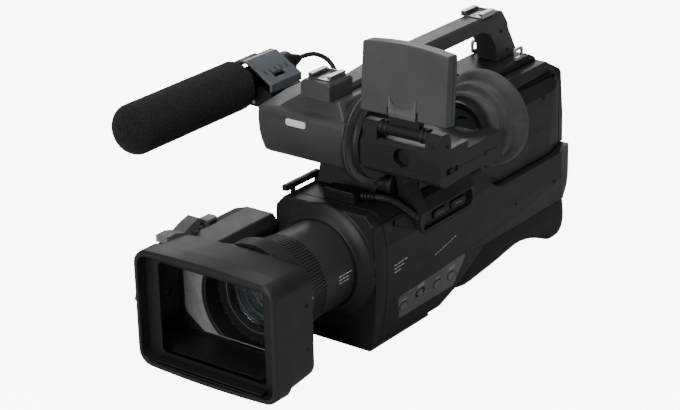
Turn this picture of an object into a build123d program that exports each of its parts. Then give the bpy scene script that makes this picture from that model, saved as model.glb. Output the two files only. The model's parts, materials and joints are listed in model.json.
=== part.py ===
from build123d import *
import os
from math import cos, pi, radians, sin, tan

os.makedirs("parts", exist_ok=True)

# ---------------------------------------------------------------------------
# Driving dimensions in millimetres.
# Frame: +Z up, the lens looks along -Y, the operator's left side is +X.
# The origin is the mouth of the tripod socket under the body.
# ---------------------------------------------------------------------------
front_y = -50.0             # front face of the body
rear_y = 248.0              # rear face of the body
deck_z = 117.0              # top of the front deck
upper_z = 162.0             # top of the rear upper housing
half_width = 52.0           # widest half width of the body
wall = 2.5                  # thickness of the moulded covers
seam = 0.4                  # gap between neighbouring covers
bezel_depth = 12.0          # depth of the front bezel

lens_z = 71.0               # height of the optical axis
barrel_r = 36.6             # smooth rear part of the lens barrel
ring_seat_r = 34.5          # seat under the focus ring
ring_rear_r = 37.4
ring_front_r = 40.4
ring_rear_y = -94.0
ring_front_y = -120.6
run = 0.06                  # radial clearance of running fits

hood_front_y = -200.0
hood_rear_y = -150.0
hood_half_x = 68.5
hood_low_z = 20.0
hood_high_z = 120.5
hood_bow = 2.5              # rise of the hood's bowed top and bottom edges
blade_y = -153.5            # hinge line of the lens-cover blades
blade_rise = 36.5           # height of each hinge line above or below the lens axis
blade_length = 34.8
blade_pin_x = 62.4          # reach of the blades' hinge pins to each side
lever_y = -168.0            # pivot of the lens-cover lever

arm_left_x = 24.0           # end of the arm that carries the viewfinder
arm_right_x = -60.0
tilt_y = -18.0              # viewfinder tilt axis, parallel to X
tilt_z = 172.0
disc_r = 38.0

vf_x = 77.0                 # middle of the viewfinder and of the LCD panel
vf_half_x = 36.0
lcd_y = -45.0               # LCD hinge axis, parallel to X
lcd_z = 194.0
lcd_half_x = 39.5
lcd_low = 11.0              # panel edges, measured from the hinge axis
lcd_high = 68.5
lcd_thick = 12.0
lcd_lean = 5.0              # backward lean of the open panel, degrees

mic_x = -92.0               # axis of the microphone, parallel to Y
mic_z = 198.0
mic_r = 10.5
foam_r = 20.5
foam_front_y = -177.0
foam_rear_y = -40.0

handle_left_x = 6.0
handle_right_x = -15.0
shoe_half_x = 10.8
shoe_places = [(-5.0, -35.0, 219.6), (-4.5, 176.0, 214.4)]

socket_r = 3.175            # 1/4 inch tripod thread
socket_length = 7.0

cord_r = 2.0
cord_points = [(mic_x, 40, mic_z), (mic_x, 49, mic_z), (mic_x + 3, 60, mic_z - 1),
               (mic_x + 12, 68, mic_z - 8.5), (mic_x + 24, 63, mic_z - 23), (mic_x + 32, 54, mic_z - 38),
               (-59.5, 46, 141), (-50.5, 44, 131), (-38, 44, 131)]
lead_r = 2.2
lead_heading = 20.0         # degrees from +X towards +Y
lead_exit = Vector(29.5, -21.6, 121.8)
lead_direction = Vector(cos(radians(lead_heading)), sin(radians(lead_heading)), 0)
relief_length = 12.5
lead_points = [(29.5, -21.6, 121.8), (36.1, -19.2, 121.8), (42.4, -15.6, 119.6), (47.4, -11.0, 115.0),
               (51.0, -5.2, 108.6), (51.9, -0.2, 104.0)]


# ---------------------------------------------------------------------------
# Helpers
# ---------------------------------------------------------------------------
def keep(part, name):
    """Label a finished piece and write it to its own STEP file."""
    part.label = name
    export_step(part, f"parts/{name}.step")
    return part


def block(low, high, mode=Mode.ADD):
    """A box given by its two extreme corners, inside the active part."""
    size = [b - a for a, b in zip(low, high)]
    middle = [(a + b) / 2 for a, b in zip(low, high)]
    with Locations(tuple(middle)):
        Box(*size, mode=mode)


def outline(plane, points, radius=0.0):
    """A closed polygon with equally rounded corners, drawn on a plane."""
    with BuildSketch(plane, mode=Mode.PRIVATE) as sketch:
        with BuildLine():
            Polyline(*points, close=True)
        make_face()
        if radius > 0:
            fillet(sketch.vertices(), radius)
    return sketch.sketch


def mirrored(right_half):
    """Complete an outline that is symmetric about its second axis."""
    return right_half + [(-x, z) for x, z in reversed(right_half)]


def rounded_rect(plane, low, high, radius):
    """A rectangle between two corners with rounded corners."""
    with BuildSketch(plane, mode=Mode.PRIVATE) as sketch:
        with Locations(((low[0] + high[0]) / 2, (low[1] + high[1]) / 2)):
            RectangleRounded(high[0] - low[0], high[1] - low[1], radius)
    return sketch.sketch


def chamfered_rect(plane, low, high, cut):
    """A rectangle between two corners with cut corners."""
    with BuildSketch(plane, mode=Mode.PRIVATE) as sketch:
        with Locations(((low[0] + high[0]) / 2, (low[1] + high[1]) / 2)):
            Rectangle(high[0] - low[0], high[1] - low[1])
        chamfer(sketch.vertices(), cut)
    return sketch.sketch


def turned(points, axis_x, axis_z):
    """A ring turned about an axis parallel to Y; points are (y, radius)."""
    with BuildSketch(Plane.YZ.offset(axis_x), mode=Mode.PRIVATE) as sketch:
        with BuildLine():
            Polyline(*[(y, axis_z + r) for y, r in points], close=True)
        make_face()
    with BuildPart(mode=Mode.PRIVATE) as ring:
        revolve(sketch.sketch, axis=Axis((axis_x, 0, axis_z), (0, 1, 0)))
    return ring.part


def rod(start, axis, radius, length, mode=Mode.ADD):
    """A round bar from a start point along an axis."""
    plane = Plane(origin=start, z_dir=axis)
    with Locations(plane.location):
        Cylinder(radius, length, align=(Align.CENTER, Align.CENTER, Align.MIN), mode=mode)


# ---------------------------------------------------------------------------
# Body masters: the outer form and the hollow inside it
# ---------------------------------------------------------------------------
lower_side = [(front_y, 0), (front_y, deck_z), (98, deck_z), (104, 103), (118, 89), (130, 86),
              (rear_y - 1, 86), (rear_y + 1, 62), (244, 48), (231, 40), (104, 40), (66, 13), (40, 2),
              (32, 0)]
lower_front = mirrored([(43.5, 0), (50, 38), (half_width, 62), (half_width, 90), (48.5, 108),
                        (40, deck_z)])
lower_plan = mirrored([(49.5, front_y), (half_width, front_y + 7), (half_width, 224), (44, rear_y + 1)])
upper_side = [(98.5, deck_z + seam), (104.6, 104), (118.4, 90.2), (130.2, 87), (rear_y - 1, 87),
              (rear_y, 104), (240, 156), (234, upper_z), (98.5, upper_z)]
upper_front = mirrored([(46.5, 80), (46.5, 112), (44, 142), (38.5, 156), (28, upper_z)])
upper_plan = mirrored([(46.5, 90), (46.5, 212), (38, rear_y)])


def body_form(side, front, plan, inset):
    """The solid common to a side, a front and a plan outline, each set in by a distance."""
    faces = [outline(Plane.YZ.offset(-60), side, 1.6), outline(Plane.XZ.offset(60), front, 3.5),
             outline(Plane.XY.offset(-5), plan, 3.0)]
    if inset:
        faces = [offset(face, -inset, kind=Kind.INTERSECTION, mode=Mode.PRIVATE) for face in faces]
    with BuildPart(mode=Mode.PRIVATE) as form:
        extrude(faces[0], amount=120)
        extrude(faces[1], amount=-320, mode=Mode.INTERSECT)
        extrude(faces[2], amount=180, mode=Mode.INTERSECT)
    return form.part


lower_solid = body_form(lower_side, lower_front, lower_plan, 0)
lower_core = body_form(lower_side, lower_front, lower_plan, wall)
upper_solid = body_form(upper_side, upper_front, upper_plan, 0)
upper_core = body_form(upper_side, upper_front, upper_plan, wall)

bezel_y = front_y + bezel_depth
deck_low_z = 109.0
base_z = 4.0
base_rear_y = 30.0
button_wall_x = 50.0
recess_low = (10.0, 86.5)       # y and z of the shoulder-button recess
recess_high = (80.0, 101.0)
panel_low = (-21.0, 17.5)       # y and z of the grey control panel
panel_high = (76.0, 44.0)
switch_travel = 2.0
door_low = (8.0, 46.0)          # y and z of the cassette door
door_high = (112.0, 88.0)
door_axis = (-49.5, 48.6)       # x and z of the cassette-door hinge
door_barrel_r = 2.5


def front_bezel():
    """Front face of the body with the flared collar around the lens."""
    with BuildPart() as piece:
        add(lower_solid)
        block((-60, front_y - 1, -1), (60, bezel_y, 120), Mode.INTERSECT)
        add(lower_core, mode=Mode.SUBTRACT)
        add(turned([(front_y + 0.2, 0), (front_y + 0.2, 49), (front_y - 2.5, 48.2),
                    (front_y - 6, 42.5), (front_y - 10, 39.4), (front_y - 10, 0)], 0, lens_z))
        add(turned([(front_y - 11, 0), (front_y - 11, barrel_r + 0.1), (bezel_y + 1, barrel_r + 0.1),
                    (bezel_y + 1, 0)], 0, lens_z), mode=Mode.SUBTRACT)
    return keep(piece.part, "front_bezel")


def side_cover_blank(side):
    """Half of the lower shell behind the bezel and under the deck; side is +1 or -1."""
    low_x, high_x = (seam / 2, 60) if side > 0 else (-60, -seam / 2)
    with BuildPart(mode=Mode.PRIVATE) as piece:
        add(lower_solid)
        add(lower_core, mode=Mode.SUBTRACT)
        block((low_x, bezel_y + seam, base_z + seam), (high_x, 260, 120), Mode.INTERSECT)
        block((-60, bezel_y, deck_low_z), (60, 97.6, 120), Mode.SUBTRACT)
    return piece.part


def left_side_cover():
    """Left cover: shoulder roll with its key recess, front pillar and the control panel's seat."""
    roll = [(37.2, 106), (37.2, 117), (41, 117), (49.5, 112), (53.6, 102), (54.4, 91), (53, 85.5),
            (46.6, 84), (46.6, 104)]
    pillar_front = [(47, 88), (55, 90), (55.4, 103), (51, 115), (44.5, 130), (40.5, 148), (37.2, 148),
                    (37.2, 106), (47, 104)]
    pillar_side = [(5, 88), (-7, 148), (10, 148), (17, 88)]
    with BuildPart() as piece:
        add(side_cover_blank(1))
        extrude(outline(Plane.XZ.offset(-recess_high[0] - 3), roll, 0.4), amount=recess_high[0] - 6)
        with BuildPart(mode=Mode.PRIVATE) as pillar:
            extrude(outline(Plane.XZ.offset(-30), pillar_front, 0.4), amount=60)
            extrude(outline(Plane.YZ.offset(30), pillar_side, 1.5), amount=40, mode=Mode.INTERSECT)
        add(pillar.part)
        rod(lead_points[-1], Vector(*lead_points[-1]) - Vector(*lead_points[-2]), 2.9, 5)
        extrude(rounded_rect(Plane.YZ.offset(button_wall_x), recess_low, recess_high, 4), amount=12,
                mode=Mode.SUBTRACT)
        add(panel_wedge(0.15), mode=Mode.SUBTRACT)
        for y, z, half_y, half_z in side_buttons():
            extrude(key_outline(30, (y, z, half_y, half_z), 0.25), amount=30, mode=Mode.SUBTRACT)
        rod((35, -24, 104.4), (1, 0, 0), 2.0, 30, Mode.SUBTRACT)
    return keep(piece.part, "left_side_cover")


def panel_wedge(grow):
    """The space of the control panel: a plate 1.2 mm deep in the left cover's face."""
    corners = [(panel_low[0], panel_high[1] - 5), (panel_high[0], panel_high[1]),
               (panel_high[0] - 13, panel_low[1]), (panel_low[0] + 6, panel_low[1])]
    with BuildPart(mode=Mode.PRIVATE) as piece:
        add(lower_solid)
        extrude(offset(outline(Plane.YZ.offset(0), corners, 2.5), grow, mode=Mode.PRIVATE), amount=60,
                mode=Mode.INTERSECT)
        shell_face = body_form(lower_side, lower_front, lower_plan, 1.2 + grow)
        add(shell_face, mode=Mode.SUBTRACT)
    return piece.part


def panel_buttons():
    """Place and half size (y, z) of the three round-ended keys and the switch on the panel."""
    return [(-11.4, 27.8, 4.6, 3.0), (11.1, 31.6, 5.6, 2.6), (35.4, 29.5, 4.6, 3.0), (55.8, 30.0, 4.6, 3.0)]


def shoulder_buttons():
    """Place and half size (y, z) of the two keys in the shoulder recess."""
    return [(37.0, 93.5, 9.5, 3.4), (63.5, 93.5, 10.5, 3.4)]


def side_buttons():
    """Every key that passes through the left cover."""
    return panel_buttons() + shoulder_buttons()


def key_outline(x, place, grow):
    """Round-ended outline of a side key, or of its hole when grown."""
    y, z, half_y, half_z = place
    return rounded_rect(Plane.YZ.offset(x), (y - half_y - grow, z - half_z - grow),
                        (y + half_y + grow, z + half_z + grow), 0.95 * (half_z + grow))


def panel_key_face(z):
    """X of a key's face beside the sloping lower side of the body at a height."""
    (low_x, _), (high_x, slope_top_z) = lower_front[0], lower_front[1]
    return low_x + (high_x - low_x) * z / slope_top_z + 0.9


def panel_switch():
    """Slide switch that travels along Y in its longer slot."""
    y, z, half_y, half_z = panel_buttons()[1]
    return side_key("panel_switch", (y, z, half_y - switch_travel, half_z), panel_key_face(z), 6.0)


def control_panel():
    """Grey trim plate on the left cover, pierced for its keys."""
    with BuildPart() as piece:
        add(panel_wedge(0))
        for y, z, half_y, half_z in panel_buttons():
            extrude(key_outline(30, (y, z, half_y, half_z), 0.25), amount=30, mode=Mode.SUBTRACT)
    return keep(piece.part, "control_panel")


def side_key(name, place, face_x, stem):
    """A round-ended key that travels along X in the left cover."""
    with BuildPart() as piece:
        extrude(key_outline(face_x, place, 0), amount=-stem)
        chamfer(piece.faces().sort_by(Axis.X)[-1].edges(), 0.5)
    return keep(piece.part, name)


def right_side_cover():
    """Right cover with the window and the hinge clearance of the cassette door."""
    with BuildPart() as piece:
        add(side_cover_blank(-1))
        block((-60, door_low[0], door_axis[1]), (-40, door_high[0], door_high[1]), Mode.SUBTRACT)
        rod((door_axis[0], door_low[0], door_axis[1]), (0, 1, 0), door_barrel_r + 0.3,
            door_high[0] - door_low[0], Mode.SUBTRACT)
        for y in (door_low[0] - 5, door_high[0]):
            block((-49.4, y, door_axis[1] - 3.2), (-45.5, y + 5, door_axis[1] + 3.2))
            rod((door_axis[0], y - 1, door_axis[1]), (0, 1, 0), 1.2 + run, 7, Mode.SUBTRACT)
    return keep(piece.part, "right_side_cover")


def cassette_door():
    """Door of the cassette compartment, with its hinge barrel and pin."""
    with BuildPart() as piece:
        add(lower_solid)
        add(lower_core, mode=Mode.SUBTRACT)
        block((-60, door_low[0] + seam, door_axis[1]), (-40, door_high[0] - seam, door_high[1] - seam),
              Mode.INTERSECT)
        rod((door_axis[0], door_low[0] + seam, door_axis[1]), (0, 1, 0), door_barrel_r,
            door_high[0] - door_low[0] - 2 * seam)
        rod((door_axis[0], door_low[0] - 4.5, door_axis[1]), (0, 1, 0), 1.2, door_high[0] - door_low[0] + 9)
    return keep(piece.part, "cassette_door")


def top_deck():
    """Deck cover in front of the neck, with the rail along its right edge."""
    with BuildPart() as piece:
        add(lower_solid)
        add(lower_core, mode=Mode.SUBTRACT)
        block((-60, bezel_y + seam, deck_low_z + seam), (60, 97.2, 120), Mode.INTERSECT)
        block((-34, -6, 100), (18, 97, 120), Mode.SUBTRACT)
        block((36.8, -4, 100), (60, recess_high[0] + 3.4, 120), Mode.SUBTRACT)
        block((-44.5, front_y + 3, 119.4), (-39.5, -3, 124.5))
        for y in (bezel_y + 0.6, -6):
            block((-43.8, y, 111.6), (-40.2, y + 3, 120))
        fillet(piece.edges().filter_by(Axis.Y).filter_by(lambda e: e.center().Z > 124), 1.6)
    return keep(piece.part, "top_deck")


def base_plate():
    """Metal base with the tripod socket."""
    with BuildPart() as piece:
        add(lower_solid)
        block((-60, bezel_y + seam, -1), (60, base_rear_y, base_z), Mode.INTERSECT)
        rod((0, 0, 1), (0, 0, 1), 9, 9)
        rod((0, 0, -1), (0, 0, 1), socket_r, socket_length + 1, Mode.SUBTRACT)
        rod((0, 16, -1), (0, 0, 1), 2.1, 4, Mode.SUBTRACT)
    return keep(piece.part, "base_plate")


def shoulder_pad():
    """Rubber shoulder pad with its saddle-shaped underside."""
    with BuildPart() as piece:
        with BuildSketch(Plane.YZ.offset(-43)):
            with BuildLine():
                Polyline((67.2, 12.6), (104.6, 39.0), (230.6, 39.0), (241, 44.5))
                Spline((241, 44.5), (245.5, 24), (243, 6), (233, 0))
                Line((233, 0), (221, 0))
                Spline((221, 0), (200, 9), (172, 15), (140, 11.5), (104, 7.5), (84, 6.5), (67.2, 12.6))
            make_face()
        extrude(amount=86)
        chamfer(piece.faces().filter_by(Axis.X).edges().filter_by(lambda e: e.center().Z < 30), 2.5)
    return keep(piece.part, "shoulder_pad")


def upper_housing():
    """Rear upper housing."""
    with BuildPart() as piece:
        add(upper_solid)
        add(upper_core, mode=Mode.SUBTRACT)
        block((-60, 98, 80), (60, 235.6, 170), Mode.INTERSECT)
        for side in (-1, 1):
            rod((side * 30, 228, 152), (side, 0, 0), 2.4, 20, Mode.SUBTRACT)
    return keep(piece.part, "upper_housing")


battery_low = (-19.4, 237.0, 94.0)
battery_high = (19.4, 257.0, 150.0)


def rear_panel():
    """Rear end panel with the battery shoe and the release-key hole."""
    with BuildPart() as piece:
        add(upper_solid)
        block((-60, 236, 80), (60, 260, 170), Mode.INTERSECT)
        block((battery_low[0] - 0.3, battery_low[1] - 0.3, battery_low[2] - 0.3),
              (battery_high[0] + 0.3, 260, 170), Mode.SUBTRACT)
        rod((29, 230, 112), (0, 1, 0), 4.3, 30, Mode.SUBTRACT)
    return keep(piece.part, "rear_panel")


def battery_pack():
    """Rechargeable pack that slides up off the rear panel."""
    with BuildPart() as piece:
        block(battery_low, battery_high)
        fillet(piece.edges().filter_by(Axis.Z), 1.5)
        for x in (-12.0, 12.0):
            block((x - 1.5, battery_high[1] - 1, 104), (x + 1.5, battery_high[1] + 1, 128), Mode.SUBTRACT)
    return keep(piece.part, "battery_pack")


def battery_release():
    """Round sprung key beside the battery."""
    with BuildPart() as piece:
        rod((29, 238, 112), (0, 1, 0), 4.1, rear_y + 1.4 - 238)
        chamfer(piece.faces().sort_by(Axis.Y)[-1].edges(), 0.6)
    return keep(piece.part, "battery_release")


# ---------------------------------------------------------------------------
# Neck, arm and handle
# ---------------------------------------------------------------------------
neck_z = 150.0


def neck_housing():
    """Neck that carries the arm and the handle above the deck."""
    narrow = [(-12, deck_z + seam), (-3, neck_z), (20, neck_z), (20, deck_z + seam)]
    inner = [(-8, deck_z - 3), (0.5, neck_z - 3), (94, neck_z - 3), (94, deck_z - 3)]
    with BuildPart() as piece:
        extrude(outline(Plane.YZ.offset(-36), narrow, 1.2), amount=58)
        block((-36, 18, deck_z + seam), (44, 97.8, neck_z))
        left_face = piece.faces().filter_by(Axis.X).sort_by(Axis.X)[-1]
        chamfer(left_face.edges().filter_by(Axis.Y).sort_by(Axis.Z)[-1], 7)
        extrude(outline(Plane.YZ.offset(-33), inner, 1.2), amount=52, mode=Mode.SUBTRACT)
        rod((-38, 44, 131), (1, 0, 0), 4.2, 3)
        rod((20, -2, 126.5), (1, 0, 0), 7.8, 15)
        for x in (24, 31):
            rod((x, -2, 126.5), (1, 0, 0), 8.4, 2.4)
    return keep(piece.part, "neck_housing")


def arm_housing():
    """Cross arm with the rounded front, the shoulder under the handle and the fixed tilt disc."""
    with BuildPart() as piece:
        with BuildSketch(Plane.YZ.offset(arm_right_x)):
            with BuildLine():
                ThreePointArc((-49, 153), (-55.4, 171), (-55.6, 189.5))
                Polyline((-55.6, 189.5), (-53.6, 191.4), (-20, 195.5), (12, 196), (14, 188), (14, 154),
                         (11, neck_z + seam), (-45, neck_z + seam), (-49, 153))
            make_face()
        extrude(amount=arm_left_x - arm_right_x)
        end_edges = piece.faces().sort_by(Axis.X)[0].edges()
        fillet(end_edges, 3.2)
        foot = rounded_rect(Plane.XY.offset(188), (-50, -49), (arm_left_x - 0.5, 12), 3)
        crown = rounded_rect(Plane.XY.offset(205), (-24, -45), (15, 12), 3)
        loft([foot.face(), crown.face()])
        rod((arm_left_x - 1, tilt_y, tilt_z), (1, 0, 0), disc_r, 5.4)
        rod((arm_left_x, tilt_y, tilt_z), (1, 0, 0), 12 + run, 10, Mode.SUBTRACT)
        block((-31.8, -60, 180.2), (-11.2, -53.4, 186.8), Mode.SUBTRACT)
    return keep(piece.part, "arm_housing")


def tally_lamp():
    """White window of the tally lamp in the arm's front."""
    with BuildPart() as piece:
        window = rounded_rect(Plane.XZ.offset(53.4), (-31.5, 180.5), (-11.5, 186.5), 2.2)
        extrude(window, amount=2.6)
        chamfer(piece.faces().sort_by(Axis.Y)[0].edges(), 0.5)
    return keep(piece.part, "tally_lamp")


def top_handle():
    """Carrying handle: shoe block in front, grip bar and rear leg."""
    bar = [(-20.4, 205.4), (-20.4, 209.5), (4, 211), (38, 214.5), (190, 214.3), (201, 212.5), (206, 206),
           (208, 196), (221, 173), (221, 169.8), (191, 169.8), (188, 184), (179, 197), (168, 202),
           (52, 202), (24, 199), (14.4, 194), (14.4, 205.4)]
    with BuildPart() as piece:
        extrude(outline(Plane.YZ.offset(handle_right_x), bar, 0), amount=handle_left_x - handle_right_x)
        top_edges = piece.edges().filter_by(lambda e: e.center().Z > 209 and abs(e.center().X + 4.5) > 9)
        chamfer(top_edges, 2.4)
        block((-19, -51, 205.4), (9, -20, 219.6))
        crown = piece.faces().sort_by(Axis.Z)[-1].edges()
        chamfer(crown, 1.8)
    return keep(piece.part, "top_handle")


def handle_base():
    """Plinth under the handle's rear leg, running back along the upper housing."""
    side = [(140, upper_z + seam), (146, 169.4), (224, 169.4), (230, 166), (232.5, upper_z + seam)]
    with BuildPart() as piece:
        extrude(outline(Plane.YZ.offset(-27), side), amount=46)
        chamfer(piece.faces().sort_by(Axis.Z)[-1].edges().filter_by(Axis.Y), 1.6)
    return keep(piece.part, "handle_base")


def accessory_shoes():
    """Two sheet-metal accessory shoes, each a floor, two walls, two inward lips and a stop."""
    with BuildPart() as piece:
        for x, y, low_z in shoe_places:
            block((x - shoe_half_x, y - 10, low_z), (x + shoe_half_x, y + 10, low_z + 1.0))
            for side in (-1, 1):
                wall_x = sorted((x + side * shoe_half_x, x + side * (shoe_half_x - 1.4)))
                lip_x = sorted((x + side * shoe_half_x, x + side * 6.3))
                block((wall_x[0], y - 10, low_z), (wall_x[1], y + 10, low_z + 4.4))
                block((lip_x[0], y - 10, low_z + 3.2), (lip_x[1], y + 10, low_z + 4.4))
            block((x - shoe_half_x, y + 9, low_z), (x + shoe_half_x, y + 10, low_z + 3.4))
    return keep(piece.part, "accessory_shoes")


def strap_eyelets():
    """Two metal strap eyelets standing on the plinth."""
    with BuildPart() as piece:
        for x in (16.6, -26.6):
            low, high = (198, 169.6), (212, 181)
            extrude(rounded_rect(Plane.YZ.offset(x), low, high, 2.5), amount=2.0)
            extrude(rounded_rect(Plane.YZ.offset(x), (200.4, 172.4), (209.6, 178.6), 1.5), amount=2.0,
                    mode=Mode.SUBTRACT)
    return keep(piece.part, "strap_eyelets")


# ---------------------------------------------------------------------------
# Inside the body
# ---------------------------------------------------------------------------
def main_frame():
    """Cast frame: floor, middle web and stand-offs for the boards and the tape deck."""
    with BuildPart() as piece:
        block((-38, -34, base_z + 2), (38, 28, base_z + 5))
        block((-2, -34, base_z + 5), (2, 44, 84))
        block((-2, 44, 44), (2, 226, 83))
        for y in (0, 50, 120, 200):
            rod((2, y, 62), (1, 0, 0), 3, 26)
        for y in (20, 100):
            rod((-2, y, 56), (-1, 0, 0), 3, 16)
        rod((0, 0, base_z), (0, 0, 1), 9.3, 6.3, Mode.SUBTRACT)
    return keep(piece.part, "main_frame")


def main_board():
    """Printed circuit board with its larger chips."""
    with BuildPart() as piece:
        block((28.2, -30, 46), (29.8, 215, 80))
        for y in (-10, 24, 80, 150):
            block((29.8, y, 54), (32.0, y + 18, 72))
    return keep(piece.part, "main_board")


drum_centre = (-33.0, 60.0, 68.0)
drum_r = 10.85


def tape_mechanism():
    """Tape deck: chassis plate, two reel spindles and the drum's base."""
    with BuildPart() as piece:
        block((-20, 14, 48), (-18.2, 106, 86))
        for y in (34, 86):
            rod((-20, y, 60), (-1, 0, 0), 4, 12)
        rod((-20, drum_centre[1], drum_centre[2]), (-1, 0, 0), drum_r, 6)
        rod((-20, drum_centre[1], drum_centre[2]), (-1, 0, 0), 2.0, 18)
    return keep(piece.part, "tape_mechanism")


def head_drum():
    """Spinning upper half of the head drum."""
    with BuildPart() as piece:
        rod((-26.4, drum_centre[1], drum_centre[2]), (-1, 0, 0), drum_r, 11)
        rod((-20, drum_centre[1], drum_centre[2]), (-1, 0, 0), 2.0 + run, 20, Mode.SUBTRACT)
    return keep(piece.part, "head_drum")


def sensor_block():
    """Image sensor and prism block behind the lens."""
    with BuildPart() as piece:
        block((-15, -46, 56), (15, -35, 86))
        block((-9, -48, 62), (9, -46, 80))
    return keep(piece.part, "sensor_block")


# ---------------------------------------------------------------------------
# Lens, hood and lens cover
# ---------------------------------------------------------------------------
def lens_barrel():
    """Fixed lens barrel: smooth rear part, focus-ring seat, inner tube and smooth front ring."""
    points = [(-48.2, 33), (-48.2, barrel_r), (ring_rear_y, barrel_r), (ring_rear_y, ring_seat_r),
              (-121, ring_seat_r), (-121, 41.6), (-123, 42.2), (-136, 42.2), (-136, 29),
              (-128, 29), (-128, 31.5), (-60, 31.5), (-60, 33)]
    with BuildPart() as piece:
        add(turned(points, 0, lens_z))
    return keep(piece.part, "lens_barrel")


def focus_ring():
    """Ribbed focus ring, wider towards the front."""
    low = ring_seat_r + run
    points = [(ring_rear_y - 0.3, low), (ring_rear_y - 0.3, ring_rear_r), (-97, ring_rear_r + 0.6),
              (-118.6, ring_front_r), (ring_front_y, ring_front_r - 0.6), (ring_front_y, low)]
    with BuildPart() as piece:
        add(turned(points, 0, lens_z))
        with Locations(Plane(origin=(0, -118, lens_z), z_dir=(0, 1, 0)).location):
            with PolarLocations(ring_front_r + 0.3, 60):
                Box(1.4, 1.5, 19, align=(Align.CENTER, Align.CENTER, Align.MIN), mode=Mode.SUBTRACT)
    return keep(piece.part, "focus_ring")


def front_lens():
    """Front element of the lens: flat behind, with a spherical front."""
    sphere_r = 92.5
    with BuildPart() as piece:
        with Locations((0, -135.6 + sphere_r, lens_z)):
            Sphere(sphere_r)
        rod((0, -137, lens_z), (0, 1, 0), 28.8, 8.6, Mode.INTERSECT)
    return keep(piece.part, "front_lens")


def zoom_lens_group():
    """Sliding zoom group: a cell with its glass."""
    points = [(-84, 0), (-84, 22), (-86, 31.2), (-72, 31.2), (-72, 24), (-76, 20), (-76, 0)]
    with BuildPart() as piece:
        add(turned(points, 0, lens_z))
    return keep(piece.part, "zoom_lens_group")


def hood_section(y, inset, radius):
    """Cross-section of the hood at one station: bowed top and bottom edges, rounded corners."""
    half_x = hood_half_x - inset
    low_z = hood_low_z + inset
    high_z = hood_high_z - inset
    with BuildSketch(Plane.XZ.offset(-y), mode=Mode.PRIVATE) as sketch:
        with BuildLine():
            ThreePointArc((-half_x, high_z - hood_bow), (0, high_z), (half_x, high_z - hood_bow))
            Line((half_x, high_z - hood_bow), (half_x, low_z + hood_bow))
            ThreePointArc((half_x, low_z + hood_bow), (0, low_z), (-half_x, low_z + hood_bow))
            Line((-half_x, low_z + hood_bow), (-half_x, high_z - hood_bow))
        make_face()
        fillet(sketch.vertices(), radius)
    return sketch.sketch


def hood_shell():
    """Rectangular hood: wide front rim, main box, back wall and the collar on the lens ring."""
    hood_rear = hood_section(hood_rear_y, 3.5, 13)
    with BuildPart() as piece:
        extrude(hood_section(-182, 0, 13), amount=-182 - hood_front_y)
        fillet(piece.faces().sort_by(Axis.Y)[0].edges(), 2.4)
        loft([hood_section(-182, 1.6, 13).face(), hood_rear.face()])
        rear = chamfered_rect(Plane.XZ.offset(-hood_rear_y), (-60, 28), (60, 113.5), 20)
        collar = chamfered_rect(Plane.XZ.offset(139), (-43, 30), (43, 112), 24)
        loft([rear.face(), collar.face()])
        add(turned([(-140, 0), (-140, 45), (-124, 45), (-124, 0)], 0, lens_z))
        extrude(hood_section(-188.4, 4.2, 9.5), amount=12, mode=Mode.SUBTRACT)
        extrude(hood_section(hood_rear_y - 2, 6.2, 11), amount=41, mode=Mode.SUBTRACT)
        rod((0, -136, lens_z), (0, 1, 0), 42.2, 20, Mode.SUBTRACT)
        rod((0, -160, lens_z), (0, 1, 0), 39.0, 30, Mode.SUBTRACT)
        for side in (-1, 1):
            rod((-blade_pin_x - 0.4, blade_y, lens_z + side * blade_rise), (1, 0, 0), 1.5 + run,
                2 * blade_pin_x + 0.8, Mode.SUBTRACT)
        rod((-80, lever_y, lens_z), (1, 0, 0), 2.0 + run, 30, Mode.SUBTRACT)
        block((-hood_half_x - 1, -196.3, 35.7), (-hood_half_x + 2.1, -183.7, 50.3), Mode.SUBTRACT)
    return keep(piece.part, "hood_shell")


def hood_mask():
    """Black mask with a wide opening behind the rim."""
    with BuildPart() as piece:
        extrude(hood_section(-188.6, 4.4, 9.3), amount=2.2)
        opening = rounded_rect(Plane.XZ.offset(180), (-51, 32.5), (51, 108.5), 4)
        extrude(opening, amount=20, mode=Mode.SUBTRACT)
    return keep(piece.part, "hood_mask")


def cover_blade(name, side):
    """One of the two lens-cover blades, lying open against the hood, with its hinge pins."""
    z = lens_z + side * blade_rise
    with BuildPart() as piece:
        plate = [(-53, blade_y), (53, blade_y), (53, blade_y - 18), (44, blade_y - blade_length),
                 (-44, blade_y - blade_length), (-53, blade_y - 18)]
        extrude(outline(Plane.XY.offset(z - 0.8), plate), amount=1.6)
        rod((-blade_pin_x, blade_y, z), (1, 0, 0), 1.5, 2 * blade_pin_x)
    return keep(piece.part, name)


def lens_cover_lever():
    """Lever on the right side of the hood that works the lens cover."""
    side = [(lever_y - 5, lens_z - 7), (lever_y - 20, lens_z - 9), (lever_y - 27, lens_z + 2),
            (lever_y - 22, lens_z + 12), (lever_y - 5, lens_z + 7)]
    with BuildPart() as piece:
        extrude(outline(Plane.YZ.offset(-hood_half_x - 5.4), side, 2), amount=5.0)
        rod((-hood_half_x - 5.4, lever_y, lens_z), (1, 0, 0), 8, 5.0)
        rod((-hood_half_x - 1, lever_y, lens_z), (1, 0, 0), 4.5, 3)
        rod((-hood_half_x - 1, lever_y, lens_z), (1, 0, 0), 2.0, 6)
    return keep(piece.part, "lens_cover_lever")


def hood_release():
    """Ribbed sprung key in its pocket, low on the hood's right side."""
    with BuildPart() as piece:
        block((-hood_half_x - 2.6, -196, 36), (-hood_half_x + 0.8, -184, 50))
        for k in range(4):
            z = 38.5 + 3 * k
            block((-hood_half_x - 3, -197, z), (-hood_half_x - 1.8, -183, z + 1.2), Mode.SUBTRACT)
    return keep(piece.part, "hood_release")


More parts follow.
